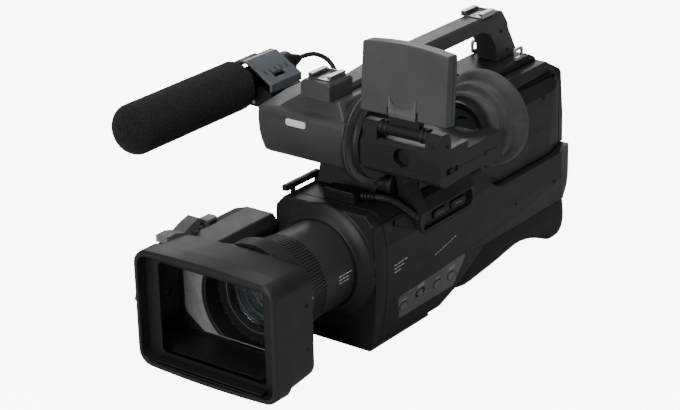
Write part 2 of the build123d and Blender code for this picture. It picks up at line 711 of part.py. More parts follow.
# ---------------------------------------------------------------------------
# Grip
# ---------------------------------------------------------------------------
grip_top = 99.0
record_place = (-86.0, 72.0)     # x and z of the record button on the grip's rear
dial_r = 11.0


def grip_housing():
    """Hand grip beside the lens, open behind the thumb for the dial and the record button."""
    section = [(-46, 36), (-84, 34), (-99, 48), (-101, 78), (-93, 94), (-78, grip_top), (-52, grip_top),
               (-46, 92)]
    with BuildPart() as piece:
        extrude(outline(Plane.XZ.offset(50), section, 4), amount=96)
        fillet(piece.faces().sort_by(Axis.Y)[0].edges(), 3)
        block((-61.5, -150, 30), (-40, -136.5, 110), Mode.SUBTRACT)
        rod((0, -58, lens_z), (0, 1, 0), 49.6, 10, Mode.SUBTRACT)
        block((-93.4, -147, grip_top - 3), (-80.6, -105, 110), Mode.SUBTRACT)
        block((-91.3, -98.3, grip_top - 4.6), (-80.7, -83.7, 110), Mode.SUBTRACT)
        rod((record_place[0], -58, record_place[1]), (0, 1, 0), dial_r + 0.3, 20, Mode.SUBTRACT)
        rod((record_place[0], -66, record_place[1]), (0, 1, 0), 4.6, 20, Mode.SUBTRACT)
    return keep(piece.part, "grip_housing")


rocker_y = -126.0


def zoom_rocker():
    """Saddle-shaped zoom rocker that pivots about its middle."""
    side = [(-146, 98.6), (-146, 104.5), (-136, 104.8), (-126, 101.8), (-116, 105.8), (-106.4, 108.0),
            (-106.4, 98.6), (-126, 97.2)]
    with BuildPart() as piece:
        extrude(outline(Plane.YZ.offset(-93), side, 0.5), amount=12)
        for k in range(3):
            block((-94, -144.6 + 3 * k, 104.2), (-80, -143.6 + 3 * k, 106), Mode.SUBTRACT)
    return keep(piece.part, "zoom_rocker")


def photo_button():
    """Oblong still-picture button on top of the grip."""
    with BuildPart() as piece:
        extrude(rounded_rect(Plane.XY.offset(grip_top - 2.4), (-91, -98), (-81, -84), 3), amount=5.4)
        chamfer(piece.faces().sort_by(Axis.Z)[-1].edges(), 0.8)
    return keep(piece.part, "photo_button")


def record_button():
    """Round record button in the middle of the mode dial."""
    x, z = record_place
    with BuildPart() as piece:
        rod((x, -63.4, z), (0, 1, 0), 4.4, 14.6)
        chamfer(piece.faces().sort_by(Axis.Y)[-1].edges(), 0.7)
    return keep(piece.part, "record_button")


def mode_dial():
    """Power and mode dial, a ring around the record button."""
    x, z = record_place
    with BuildPart() as piece:
        rod((x, -57.6, z), (0, 1, 0), dial_r, 6.4)
        block((x - 2, -53, z + dial_r - 3), (x + 2, -49.8, z + dial_r))
        rod((x, -60, z), (0, 1, 0), 4.4 + 0.3, 20, Mode.SUBTRACT)
    return keep(piece.part, "mode_dial")


def hand_strap():
    """Padded hand strap around the outside of the grip."""
    outer = [(-101.4, -143), (-112, -132), (-117, -110), (-116, -84), (-110, -64), (-101.4, -55)]
    with BuildPart() as piece:
        with BuildSketch(Plane.XY.offset(46)):
            with BuildLine():
                rim = Spline(*outer)
                Polyline(rim @ 1, (-101.4, -59), (-107, -68), (-112.2, -86), (-113.2, -109),
                         (-108.6, -129), (-101.4, -138), rim @ 0)
            make_face()
        extrude(amount=38)
    return keep(piece.part, "hand_strap")


# ---------------------------------------------------------------------------
# Microphone
# ---------------------------------------------------------------------------
def mic_tube():
    """Interference tube of the microphone, with the boot that the cord leaves from."""
    with BuildPart() as piece:
        rod((mic_x, -163, mic_z), (0, 1, 0), mic_r, 187)
        add(turned([(24, 0), (24, 7.6), (30, 6.6), (35, 3.8), (40, 3.2), (40, 0)], mic_x, mic_z))
    return keep(piece.part, "mic_tube")


def mic_windscreen():
    """Foam windscreen with a domed front, closed around the tube."""
    with BuildPart() as piece:
        with BuildSketch(Plane.YZ.offset(mic_x)):
            with BuildLine():
                nose = Spline((foam_front_y, mic_z), (foam_front_y + 3, mic_z + 13),
                              (foam_front_y + 14, mic_z + foam_r), tangents=[(0, 1), (1, 0.05)])
                Polyline(nose @ 1, (foam_rear_y - 4, mic_z + foam_r), (foam_rear_y, mic_z + foam_r - 5),
                         (foam_rear_y, mic_z), nose @ 0)
            make_face()
        revolve(axis=Axis((mic_x, 0, mic_z), (0, 1, 0)))
        rod((mic_x, -163, mic_z), (0, 1, 0), mic_r, 190, Mode.SUBTRACT)
    return keep(piece.part, "mic_windscreen")


lid_axis = (-110.0, 206.0)       # x and z of the holder lid's hinge
holder_y = (-30.0, 9.0)


def mic_holder():
    """Cradle under the microphone with its bracket to the arm."""
    cradle = [(-107, 178), (-107, 200), (-104.4, 200), (-104.4, 186), (-79.6, 186), (-79.6, 195.4),
              (-66.0, 191.6), (-66.0, 184), (-72, 178)]
    with BuildPart() as piece:
        extrude(outline(Plane.XZ.offset(-holder_y[1]), cradle), amount=holder_y[1] - holder_y[0])
        rod((mic_x, holder_y[0] - 1, mic_z), (0, 1, 0), mic_r, 50, Mode.SUBTRACT)
        block((-82, -24, 172), (arm_right_x, 4, 180))
        for y in (-24.0, -2.0):
            rod((lid_axis[0], y, lid_axis[1]), (0, 1, 0), 2.6, 8)
            block((-109.4, y, 196), (-104.4, y + 8, lid_axis[1] - 1))
            rod((lid_axis[0], y - 1, lid_axis[1]), (0, 1, 0), 1.1 + run, 10, Mode.SUBTRACT)
    return keep(piece.part, "mic_holder")


def mic_holder_lid():
    """Hinged lid over the microphone, sloping down to its latch."""
    section = [(-108.5, 208.2), (-96, 214.5), (-90, 214.5), (-65, 199.5), (-65, 193.2), (-67.2, 193.2),
               (-67.2, 198.2), (-90.6, 212.3), (-95.4, 212.3), (-107.4, 206.4)]
    with BuildPart() as piece:
        extrude(outline(Plane.XZ.offset(-holder_y[1]), section), amount=holder_y[1] - holder_y[0])
        rod((lid_axis[0], -15.6, lid_axis[1]), (0, 1, 0), 2.6, 13.2)
        rod((lid_axis[0], -24, lid_axis[1]), (0, 1, 0), 1.1, 30)
        for y in (-24.0, -2.0):
            rod((lid_axis[0], y - 0.4, lid_axis[1]), (0, 1, 0), 3.0, 8.8, Mode.SUBTRACT)
        rod((lid_axis[0], -24, lid_axis[1]), (0, 1, 0), 1.1, 30)
        rod((mic_x, -40, mic_z), (0, 1, 0), 12.3, 60, Mode.SUBTRACT)
        block((-74, -18, 200.4), (-70, -4, 212), Mode.SUBTRACT)
    return keep(piece.part, "mic_holder_lid")


def tube_along(points, radius, name):
    """A cord of straight runs and tangent arcs; prints its bend radii and its length."""
    knots = [Vector(*p) for p in points]
    radii = []
    for before, here, after in zip(knots, knots[1:], knots[2:]):
        turn = radians((here - before).get_angle(after - here))
        radii.append(0.45 * min((here - before).length, (after - here).length) / tan(turn / 2))
    with BuildPart() as piece:
        with BuildLine() as path:
            route = FilletPolyline(*points, radius=radii)
        with BuildSketch(Plane(origin=points[0], z_dir=knots[1] - knots[0])):
            Circle(radius)
        sweep(path=route)
    length = route.length
    print(name, "length", round(length, 1), "radii", [round(r, 1) for r in radii],
          "volume ratio", round(piece.part.volume / (pi * radius ** 2 * length), 4))
    return keep(piece.part, name)


def viewfinder_plug():
    """Flat plug of the viewfinder lead with its ribbed strain relief."""
    relief_start = lead_exit - lead_direction * relief_length
    with BuildPart() as piece:
        extrude(rounded_rect(Plane.XY.offset(deck_z + 0.3), (-12, -36), (19.5, -20.5), 3), amount=8.6)
        chamfer(piece.faces().sort_by(Axis.Z)[-1].edges(), 1.2)
        rod(relief_start, lead_direction, 2.9, relief_length)
        for k in range(4):
            rod(relief_start + lead_direction * (2.4 + 2.6 * k), lead_direction, 3.9, 1.5)
    return keep(piece.part, "viewfinder_plug")


# ---------------------------------------------------------------------------
# Viewfinder and LCD
# ---------------------------------------------------------------------------
ear_rear_y = -37.0
ear_x = (vf_x - vf_half_x, vf_x - 22.5, vf_x + 22.5, vf_x + vf_half_x)
eyepiece_y = 34.0


def viewfinder_body():
    """Viewfinder housing: moving tilt disc, ears for the LCD hinge, tray and eyepiece tube."""
    low_x, high_x = ear_x[0], ear_x[3]
    side = [(-52, 160.5), (-52, 184), (-50, 186), (-39, 186), (-36.5, 178.5), (32, 178.5),
            (eyepiece_y, 176), (eyepiece_y, 156), (20, 157), (-20, 157), (-46, 155.5)]
    with BuildPart() as piece:
        extrude(outline(Plane.YZ.offset(low_x), side, 1.4), amount=high_x - low_x)
        for x in (ear_x[0], ear_x[2]):
            ear = [(-52, 177), (-52, 194), (-48.5, 198.6), (-41.5, 198.6), (ear_rear_y, 194), (ear_rear_y, 177)]
            extrude(outline(Plane.YZ.offset(x), ear, 1.2), amount=ear_x[1] - ear_x[0])
        for x in (ear_x[0], high_x - 5):
            block((x, ear_rear_y - 1, 177), (x + 5, -14, 185))
        rod((vf_x, 25.5, tilt_z), (0, 1, 0), 24, eyepiece_y - 25.5)
        rod((arm_left_x + 5.0, tilt_y, tilt_z), (1, 0, 0), disc_r - 5, 6.4)
        rod((arm_left_x + 1, tilt_y, tilt_z), (1, 0, 0), 12, 4.2)
        block((arm_left_x + 11, -44, 160), (low_x + 1, 8, 181))
        rod((low_x + 3, lcd_y, lcd_z), (1, 0, 0), 2.0 + run, high_x - low_x - 6, Mode.SUBTRACT)
        block((high_x - 1.2, -44, 165), (high_x + 1, -28, 169.4), Mode.SUBTRACT)
        rod((vf_x, eyepiece_y - 14, tilt_z), (0, 1, 0), 19, 20, Mode.SUBTRACT)
        rod((vf_x, -90, 174.5), (0, 1, 0), 7.5, 45, Mode.SUBTRACT)
    return keep(piece.part, "viewfinder_body")


def diopter_slider():
    """Small slide on the viewfinder's left side that sets the eyepiece."""
    x = ear_x[3]
    with BuildPart() as piece:
        block((x - 1.1, -39.6, 165.1), (x + 1.3, -35.0, 169.3))
        for k in range(3):
            block((x + 0.8, -39.0 + 1.5 * k, 165), (x + 2, -38.5 + 1.5 * k, 170), Mode.SUBTRACT)
    return keep(piece.part, "diopter_slider")


def eyecup():
    """Large stepped rubber eyecup."""
    points = [(eyepiece_y, 19.5), (eyepiece_y, 27), (eyepiece_y + 4, 29), (eyepiece_y + 9, 28.4),
              (eyepiece_y + 14, 32.5), (eyepiece_y + 20, 33.5), (eyepiece_y + 26, 38.6),
              (eyepiece_y + 33, 40), (eyepiece_y + 33, 38), (eyepiece_y + 20, 31), (eyepiece_y + 10, 22),
              (eyepiece_y + 5, 19.5)]
    with BuildPart() as piece:
        add(turned(points, vf_x, tilt_z))
    return keep(piece.part, "eyecup")


def eyepiece_lens():
    """Magnifying lens of the eyepiece."""
    with BuildPart() as piece:
        add(turned([(eyepiece_y - 4, 0), (eyepiece_y - 4, 18.9), (eyepiece_y - 1, 18.9), (eyepiece_y + 1, 12),
                    (eyepiece_y + 1.6, 0)], vf_x, tilt_z))
    return keep(piece.part, "eyepiece_lens")


def leaned(part):
    """Lean a piece of the LCD back about its hinge axis, from upright to its rest angle."""
    return part.rotate(Axis((0, lcd_y, lcd_z), (1, 0, 0)), -lcd_lean)


def lcd_hinge():
    """Hinge barrel between the ears, with its pins and the swivel post of the panel."""
    with BuildPart(mode=Mode.PRIVATE) as upright:
        rod((ear_x[1] + 0.3, lcd_y, lcd_z), (1, 0, 0), 5.6, ear_x[2] - ear_x[1] - 0.6)
        rod((ear_x[0] + 4, lcd_y, lcd_z), (1, 0, 0), 2.0, ear_x[3] - ear_x[0] - 8)
        block((vf_x - 14, lcd_y - 3.4, lcd_z), (vf_x + 14, lcd_y + 3.4, lcd_z + lcd_low - 0.6))
        rod((vf_x, lcd_y, lcd_z), (0, 0, 1), 3.0, lcd_low + 7)
    return keep(leaned(upright.part), "lcd_hinge")


def lcd_panel():
    """LCD housing: thick slab with an arched top, a thumb notch and the screen's recess."""
    half = lcd_thick / 2
    with BuildPart(mode=Mode.PRIVATE) as upright:
        with BuildSketch(Plane.XZ.offset(-lcd_y - half)):
            with BuildLine():
                Polyline((vf_x - lcd_half_x, lcd_z + lcd_high - 3), (vf_x - lcd_half_x, lcd_z + lcd_low),
                         (vf_x + lcd_half_x, lcd_z + lcd_low), (vf_x + lcd_half_x, lcd_z + lcd_high - 3))
                ThreePointArc((vf_x + lcd_half_x, lcd_z + lcd_high - 3), (vf_x, lcd_z + lcd_high),
                              (vf_x - lcd_half_x, lcd_z + lcd_high - 3))
            make_face()
            fillet(vertices(), 2.0)
        extrude(amount=lcd_thick)
        fillet(upright.faces().sort_by(Axis.Y)[0].edges(), 1.6)
        block((vf_x - 33, lcd_y + half - 1.2, lcd_z + lcd_low + 8),
              (vf_x + 33, lcd_y + half + 1, lcd_z + lcd_high - 8), Mode.SUBTRACT)
        block((vf_x - 14.5, lcd_y - half - 1, lcd_z),
              (vf_x + 14.5, lcd_y - half + 2.2, lcd_z + lcd_low + 7), Mode.SUBTRACT)
        rod((vf_x, lcd_y, lcd_z), (0, 0, 1), 3.0 + run, lcd_low + 7.4, Mode.SUBTRACT)
    return keep(leaned(upright.part), "lcd_panel")


def lcd_screen():
    """Glass screen on the operator's side of the panel."""
    half = lcd_thick / 2
    with BuildPart(mode=Mode.PRIVATE) as upright:
        block((vf_x - 32.8, lcd_y + half - 1.2, lcd_z + lcd_low + 8.2),
              (vf_x + 32.8, lcd_y + half - 0.2, lcd_z + lcd_high - 8.2))
    return keep(leaned(upright.part), "lcd_screen")


# ---------------------------------------------------------------------------
# Build every piece
# ---------------------------------------------------------------------------
front_bezel()
left_side_cover()
right_side_cover()
cassette_door()
top_deck()
base_plate()
shoulder_pad()
upper_housing()
rear_panel()
battery_pack()
battery_release()
control_panel()
panel_key_places = [panel_buttons()[0]] + panel_buttons()[2:]
for key_name, key_place in zip(("panel_key_front", "panel_key_middle", "panel_key_rear"), panel_key_places):
    side_key(key_name, key_place, panel_key_face(key_place[1]), 6.0)
panel_switch()
for key_name, key_place in zip(("shoulder_key_front", "shoulder_key_rear"), shoulder_buttons()):
    side_key(key_name, key_place, button_wall_x + 1.6, 5.6)
neck_housing()
arm_housing()
tally_lamp()
top_handle()
handle_base()
accessory_shoes()
strap_eyelets()
main_frame()
main_board()
tape_mechanism()
head_drum()
sensor_block()
lens_barrel()
focus_ring()
front_lens()
zoom_lens_group()
hood_shell()
hood_mask()
cover_blade("upper_cover_blade", 1)
cover_blade("lower_cover_blade", -1)
lens_cover_lever()
hood_release()
grip_housing()
zoom_rocker()
photo_button()
record_button()
mode_dial()
hand_strap()
mic_tube()
mic_windscreen()
mic_holder()
mic_holder_lid()
tube_along(cord_points, cord_r, "mic_cord")
viewfinder_plug()
tube_along(lead_points, lead_r, "viewfinder_lead")
viewfinder_body()
diopter_slider()
eyecup()
eyepiece_lens()
lcd_hinge()
lcd_panel()
lcd_screen()
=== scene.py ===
import json
import math

import bmesh
import bpy
from mathutils import Matrix, Vector, noise
from mathutils.bvhtree import BVHTree


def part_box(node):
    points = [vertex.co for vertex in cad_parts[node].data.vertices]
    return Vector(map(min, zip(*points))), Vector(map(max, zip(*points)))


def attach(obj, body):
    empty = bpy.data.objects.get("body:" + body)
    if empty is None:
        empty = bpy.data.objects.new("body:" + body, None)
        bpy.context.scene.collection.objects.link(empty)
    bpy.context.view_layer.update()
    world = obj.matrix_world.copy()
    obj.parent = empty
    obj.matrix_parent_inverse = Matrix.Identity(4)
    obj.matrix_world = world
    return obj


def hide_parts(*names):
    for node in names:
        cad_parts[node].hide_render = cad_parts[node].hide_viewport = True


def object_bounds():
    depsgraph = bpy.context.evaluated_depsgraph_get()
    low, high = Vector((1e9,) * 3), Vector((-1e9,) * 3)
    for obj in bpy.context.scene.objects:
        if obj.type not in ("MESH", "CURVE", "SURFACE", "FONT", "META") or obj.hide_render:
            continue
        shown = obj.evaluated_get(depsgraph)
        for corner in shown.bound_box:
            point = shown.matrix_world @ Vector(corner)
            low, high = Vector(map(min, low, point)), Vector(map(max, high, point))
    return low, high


MM = 0.001
SHARP_DEG = 32
WHITE = 8.0                     # strength of the backdrop that only the camera sees
LEAN_DEG = 5                    # backward lean of the open display at rest
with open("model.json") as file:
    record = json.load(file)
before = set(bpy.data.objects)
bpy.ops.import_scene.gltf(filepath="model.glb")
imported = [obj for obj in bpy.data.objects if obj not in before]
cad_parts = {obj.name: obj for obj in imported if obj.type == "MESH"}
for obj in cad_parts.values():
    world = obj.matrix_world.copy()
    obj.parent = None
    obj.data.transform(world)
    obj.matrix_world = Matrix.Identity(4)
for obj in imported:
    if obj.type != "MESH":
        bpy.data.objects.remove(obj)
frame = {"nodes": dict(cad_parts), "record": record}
NODES = frame["nodes"]
cad_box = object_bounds()
JOINT_AT = {row["name"]: Vector(row["pos_m"]) / MM
            for row in frame["record"]["behaviour"]["joints"] if "pos_m" in row}


# Materials
def shader(name, color, roughness, metallic=0.0, specular=0.28):
    """A new node material; returns the material, its node tree and its Principled shader."""
    material = bpy.data.materials.new(name)
    material.use_nodes = True
    tree = material.node_tree
    surface = tree.nodes["Principled BSDF"]
    surface.inputs["Base Color"].default_value = (*color, 1)
    surface.inputs["Roughness"].default_value = roughness
    surface.inputs["Metallic"].default_value = metallic
    surface.inputs["Specular IOR Level"].default_value = specular
    return material, tree, surface


def place(tree, stretch=(1, 1, 1)):
    """Object coordinates, in metres, stretched along the three axes."""
    coordinates = tree.nodes.new("ShaderNodeTexCoord")
    mapping = tree.nodes.new("ShaderNodeMapping")
    mapping.inputs["Scale"].default_value = stretch
    tree.links.new(coordinates.outputs["Object"], mapping.inputs["Vector"])
    return mapping.outputs["Vector"]


def noise_value(tree, vector, scale, detail=3.0):
    """A noise texture's value."""
    texture = tree.nodes.new("ShaderNodeTexNoise")
    texture.inputs["Scale"].default_value = scale
    texture.inputs["Detail"].default_value = detail
    tree.links.new(vector, texture.inputs["Vector"])
    return texture.outputs["Fac"]


def ramp(tree, value, low, high, first, last):
    """Maps a value between two stops to two colours."""
    node = tree.nodes.new("ShaderNodeValToRGB")
    node.color_ramp.elements[0].position = low
    node.color_ramp.elements[1].position = high
    node.color_ramp.elements[0].color = (*first, 1)
    node.color_ramp.elements[1].color = (*last, 1)
    tree.links.new(value, node.inputs["Fac"])
    return node.outputs["Color"]


def spread(tree, value, low, high):
    """Maps a value from 0..1 to low..high."""
    node = tree.nodes.new("ShaderNodeMapRange")
    node.inputs["To Min"].default_value = low
    node.inputs["To Max"].default_value = high
    tree.links.new(value, node.inputs["Value"])
    return node.outputs["Result"]


def bumped(tree, surface, height, strength, distance):
    """Adds a bump to a shader, on top of the bump it has."""
    bump = tree.nodes.new("ShaderNodeBump")
    bump.inputs["Strength"].default_value = strength
    bump.inputs["Distance"].default_value = distance
    if surface.inputs["Normal"].is_linked:
        tree.links.new(surface.inputs["Normal"].links[0].from_socket, bump.inputs["Normal"])
    tree.links.new(height, bump.inputs["Height"])
    tree.links.new(bump.outputs["Normal"], surface.inputs["Normal"])


def moulded(name, color, roughness, grain=1600, depth=0.04, edge_highlight_gain=2.4, specular=0.3):
    """Moulded plastic: spark-eroded grain, faint handling marks and a painted highlight on the convex edges.
    """
    material, tree, surface = shader(name, color, roughness, specular=specular)
    vector = place(tree)
    broad = noise_value(tree, vector, 22, 5)
    tint = ramp(tree, broad, 0.3, 0.7, [c * 0.86 for c in color], [c * 1.14 for c in color])
    # Painted highlight: convex edges, found by pointiness and broken up by noise, get a lighter copy of the
    # colour.
    geometry = tree.nodes.new("ShaderNodeNewGeometry")
    edge = ramp(tree, geometry.outputs["Pointiness"], 0.53, 0.66, (0, 0, 0), (1, 1, 1))
    patchy = noise_value(tree, vector, 260, 4)
    painted_edge_highlight = tree.nodes.new("ShaderNodeMath")
    painted_edge_highlight.operation = "MULTIPLY"
    tree.links.new(edge, painted_edge_highlight.inputs[0])
    tree.links.new(patchy, painted_edge_highlight.inputs[1])
    mix = tree.nodes.new("ShaderNodeMix")
    mix.data_type = "RGBA"
    tree.links.new(painted_edge_highlight.outputs[0], mix.inputs["Factor"])
    tree.links.new(tint, mix.inputs[6])
    mix.inputs[7].default_value = (*[min(1, c * edge_highlight_gain + 0.01) for c in color], 1)
    tree.links.new(mix.outputs[2], surface.inputs["Base Color"])
    marks = noise_value(tree, vector, 70, 6)
    tree.links.new(spread(tree, marks, roughness - 0.07, roughness + 0.07), surface.inputs["Roughness"])
    bumped(tree, surface, noise_value(tree, vector, grain, 2), 0.35, depth * MM)
    return material


def rubbery(name, color, roughness=0.62, grain=900, depth=0.05):
    """Matt rubber with dust in its grain."""
    material, tree, surface = shader(name, color, roughness, specular=0.22)
    vector = place(tree)
    dust = noise_value(tree, vector, 48, 6)
    tree.links.new(ramp(tree, dust, 0.42, 0.8, color, [c * 1.7 + 0.004 for c in color]),
                   surface.inputs["Base Color"])
    tree.links.new(spread(tree, dust, roughness - 0.05, roughness + 0.1), surface.inputs["Roughness"])
    surface.inputs["Sheen Weight"].default_value = 0.08
    bumped(tree, surface, noise_value(tree, vector, grain, 3), 0.4, depth * MM)
    return material


def foam_material():
    """Open-cell foam: dark pores between lighter cell walls, with a soft sheen."""
    material, tree, surface = shader("foam", (0.01, 0.01, 0.0105), 0.95, specular=0.06)
    vector = place(tree)
    cells = tree.nodes.new("ShaderNodeTexVoronoi")
    cells.inputs["Scale"].default_value = 780
    tree.links.new(vector, cells.inputs["Vector"])
    tree.links.new(ramp(tree, cells.outputs["Distance"], 0.1, 0.75, (0.004, 0.004, 0.0045),
                        (0.017, 0.0172, 0.018)), surface.inputs["Base Color"])
    surface.inputs["Sheen Weight"].default_value = 0.06
    surface.inputs["Sheen Roughness"].default_value = 0.6
    bumped(tree, surface, cells.outputs["Distance"], 0.9, 0.5 * MM)
    bumped(tree, surface, noise_value(tree, vector, 160, 4), 0.5, 0.5 * MM)
    return material


def webbing_material():
    """Dark woven nylon: a fine over-and-under weave."""
    material, tree, surface = shader("webbing", (0.02, 0.02, 0.021), 0.85, specular=0.25)
    waves = []
    for direction in ("Y", "Z"):
        wave = tree.nodes.new("ShaderNodeTexWave")
        wave.bands_direction = direction
        wave.inputs["Scale"].default_value = 320
        tree.links.new(place(tree), wave.inputs["Vector"])
        waves.append(wave.outputs["Fac"])
    weave = tree.nodes.new("ShaderNodeMath")
    weave.operation = "MULTIPLY"
    tree.links.new(waves[0], weave.inputs[0])
    tree.links.new(waves[1], weave.inputs[1])
    tree.links.new(ramp(tree, weave.outputs[0], 0.1, 0.8, (0.005, 0.005, 0.0055), (0.018, 0.018, 0.019)),
                   surface.inputs["Base Color"])
    surface.inputs["Sheen Weight"].default_value = 0.1
    bumped(tree, surface, weave.outputs[0], 0.7, 0.25 * MM)
    return material


def metal_material(name, color, roughness, stretch):
    """Brushed or cast metal with fine streaks along one axis."""
    material, tree, surface = shader(name, color, roughness, metallic=1.0)
    streaks = noise_value(tree, place(tree, stretch), 300, 4)
    tree.links.new(ramp(tree, streaks, 0.3, 0.7, [c * 0.8 for c in color], color),
                   surface.inputs["Base Color"])
    tree.links.new(spread(tree, streaks, roughness - 0.08, roughness + 0.1), surface.inputs["Roughness"])
    bumped(tree, surface, streaks, 0.15, 0.02 * MM)
    return material


def lens_material(name, color):
    """Coated optical glass: clear with a cool tint and a trace of dust."""
    material, tree, surface = shader(name, color, 0.02)
    surface.inputs["Transmission Weight"].default_value = 1.0
    surface.inputs["IOR"].default_value = 1.5
    dust = noise_value(tree, place(tree), 500, 2)
    tree.links.new(ramp(tree, dust, 0.7, 0.8, (0.015, 0.015, 0.015), (0.08, 0.08, 0.08)),
                   surface.inputs["Roughness"])
    return material


def screen_material():
    """Dark display glass with a faint pixel grid beneath."""
    material, tree, surface = shader("screen", (0.012, 0.013, 0.016), 0.08)
    grid = tree.nodes.new("ShaderNodeTexWave")
    grid.bands_direction = "X"
    grid.inputs["Scale"].default_value = 800
    tree.links.new(place(tree), grid.inputs["Vector"])
    tree.links.new(ramp(tree, grid.outputs["Fac"], 0, 1, (0.010, 0.011, 0.014), (0.014, 0.015, 0.02)),
                   surface.inputs["Base Color"])
    surface.inputs["Coat Weight"].default_value = 1.0
    surface.inputs["Coat Roughness"].default_value = 0.02
    return material


def lamp_material():
    """Milky window with a cloudy tone and a little light scattered beneath its surface."""
    material, tree, surface = shader("lamp", (0.78, 0.82, 0.80), 0.25)
    cloud = noise_value(tree, place(tree), 120, 3)
    tree.links.new(ramp(tree, cloud, 0.3, 0.7, (0.62, 0.66, 0.65), (0.86, 0.9, 0.88)),
                   surface.inputs["Base Color"])
    surface.inputs["Subsurface Weight"].default_value = 0.2
    surface.inputs["Subsurface Radius"].default_value = (0.002, 0.002, 0.002)
    return material


def paint_material():
    """Pale print ink."""
    material, tree, surface = shader("ink", (0.62, 0.64, 0.64), 0.5)
    cloud = noise_value(tree, place(tree), 900, 3)
    tree.links.new(ramp(tree, cloud, 0.3, 0.6, (0.46, 0.48, 0.48), (0.7, 0.72, 0.72)),
                   surface.inputs["Base Color"])
    return material


def board_material():
    """Green solder mask with copper tracks beneath."""
    material, tree, surface = shader("board", (0.02, 0.12, 0.05), 0.35)
    tracks = tree.nodes.new("ShaderNodeTexBrick")
    tracks.inputs["Scale"].default_value = 140
    tracks.inputs["Color1"].default_value = (0.015, 0.11, 0.045, 1)
    tracks.inputs["Color2"].default_value = (0.02, 0.14, 0.055, 1)
    tracks.inputs["Mortar"].default_value = (0.04, 0.2, 0.07, 1)
    tree.links.new(place(tree), tracks.inputs["Vector"])
    tree.links.new(tracks.outputs["Color"], surface.inputs["Base Color"])
    return material


def seen_by_camera(tree, lit, shown, output):
    """Gives camera rays one shader and all other rays another."""
    seen = tree.nodes.new("ShaderNodeLightPath")
    mix = tree.nodes.new("ShaderNodeMixShader")
    tree.links.new(seen.outputs["Is Camera Ray"], mix.inputs["Fac"])
    tree.links.new(lit, mix.inputs[1])
    tree.links.new(shown, mix.inputs[2])
    tree.links.new(mix.outputs["Shader"], tree.nodes[output].inputs["Surface"])


def floor_material():
    """Plain pale studio floor that looks near white but throws little light back on the object."""
    material, tree, surface = shader("floor", (0.9, 0.9, 0.9), 0.7)
    cloud = noise_value(tree, place(tree), 3, 2)
    tree.links.new(ramp(tree, cloud, 0, 1, (0.89, 0.89, 0.89), (0.91, 0.91, 0.91)),
                   surface.inputs["Base Color"])
    surface.inputs["Emission Color"].default_value = (1, 1, 1, 1)
    surface.inputs["Emission Strength"].default_value = WHITE
    bounce = tree.nodes.new("ShaderNodeBsdfDiffuse")
    bounce.inputs["Color"].default_value = (0.5, 0.5, 0.5, 1)
    seen_by_camera(tree, bounce.outputs["BSDF"], surface.outputs["BSDF"], "Material Output")
    return material


MATERIALS = {
    "body_plastic": moulded("body_plastic", (0.0155, 0.0167, 0.0172), 0.44),
    # Painted highlight: a lighter copy of the body plastic for the arm and the handle, standing in for the
    # front light on their faces.
    "painted_lit_body_plastic": moulded("painted_lit_body_plastic", (0.047, 0.05, 0.051), 0.4),
    # Painted highlight: a lighter copy of the dark plastic for the lens barrel and the focus ring, standing
    # in for the light along their top.
    "painted_lit_barrel_plastic": moulded("painted_lit_barrel_plastic", (0.03, 0.0315, 0.0325), 0.4),
    "dark_plastic": moulded("dark_plastic", (0.0085, 0.0089, 0.0094), 0.46),
    "grey_plastic": moulded("grey_plastic", (0.14, 0.148, 0.148), 0.42),
    "lcd_plastic": moulded("lcd_plastic", (0.066, 0.0695, 0.066), 0.38, grain=2200, depth=0.025),
    "gloss_grey": moulded("gloss_grey", (0.09, 0.1, 0.108), 0.26, depth=0.02, specular=0.45),
    "rubber": rubbery("rubber", (0.0125, 0.013, 0.0132)),
    # Painted highlight: a lighter copy of the rubber for the eyecup, standing in for the light it catches.
    "painted_lit_eyecup_rubber": rubbery("painted_lit_eyecup_rubber", (0.055, 0.057, 0.056)),
    "foam": foam_material(),
    "strap_fabric": webbing_material(),
    "bright_metal": metal_material("bright_metal", (0.5, 0.49, 0.46), 0.3, (1, 12, 1)),
    "cast_metal": metal_material("cast_metal", (0.2, 0.2, 0.205), 0.5, (1, 1, 1)),
    "glass": lens_material("glass", (0.72, 0.83, 0.9)),
    "screen": screen_material(),
    "lamp": lamp_material(),
    "board": board_material(),
    "cord_rubber": rubbery("cord_rubber", (0.017, 0.0175, 0.0175), 0.45),
}
INK = paint_material()


# Mesh helpers; lengths in millimetres, in the frame's axes, turned to metres by finished()
def box(node):
    """A node's lowest and highest corners at rest, in millimetres."""
    low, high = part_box(node)
    return Vector(low) / MM, Vector(high) / MM


def finished(name, maker, body, slot, material=None):
    """Turns a bmesh in millimetres into a piece that rides on a body and takes a slot's material."""
    mesh = bpy.data.meshes.new(name)
    bmesh.ops.recalc_face_normals(maker, faces=maker.faces)
    bmesh.ops.scale(maker, vec=(MM, MM, MM), verts=maker.verts)
    maker.to_mesh(mesh)
    maker.free()
    piece = bpy.data.objects.new(name, mesh)
    bpy.context.scene.collection.objects.link(piece)
    mesh.polygons.foreach_set("use_smooth", [True] * len(mesh.polygons))
    mesh.set_sharp_from_angle(angle=math.radians(SHARP_DEG))
    mesh.materials.append(material or MATERIALS[slot])
    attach(piece, body)
    return piece


def bridged(maker, rings, closed=False):
    """Joins each ring of vertices to the next with quads."""
    count = len(rings[0])
    for a, b in zip(rings, rings[1:] + (rings[:1] if closed else [])):
        for k in range(count):
            j = (k + 1) % count
            maker.faces.new((a[k], a[j], b[j], b[k]))


def ring_at(maker, pose, radius, depth, steps):
    """A ring of vertices round a pose's depth axis."""
    return [maker.verts.new(pose @ Vector((radius * math.cos(2 * math.pi * k / steps),
                                           radius * math.sin(2 * math.pi * k / steps), depth)))
            for k in range(steps)]


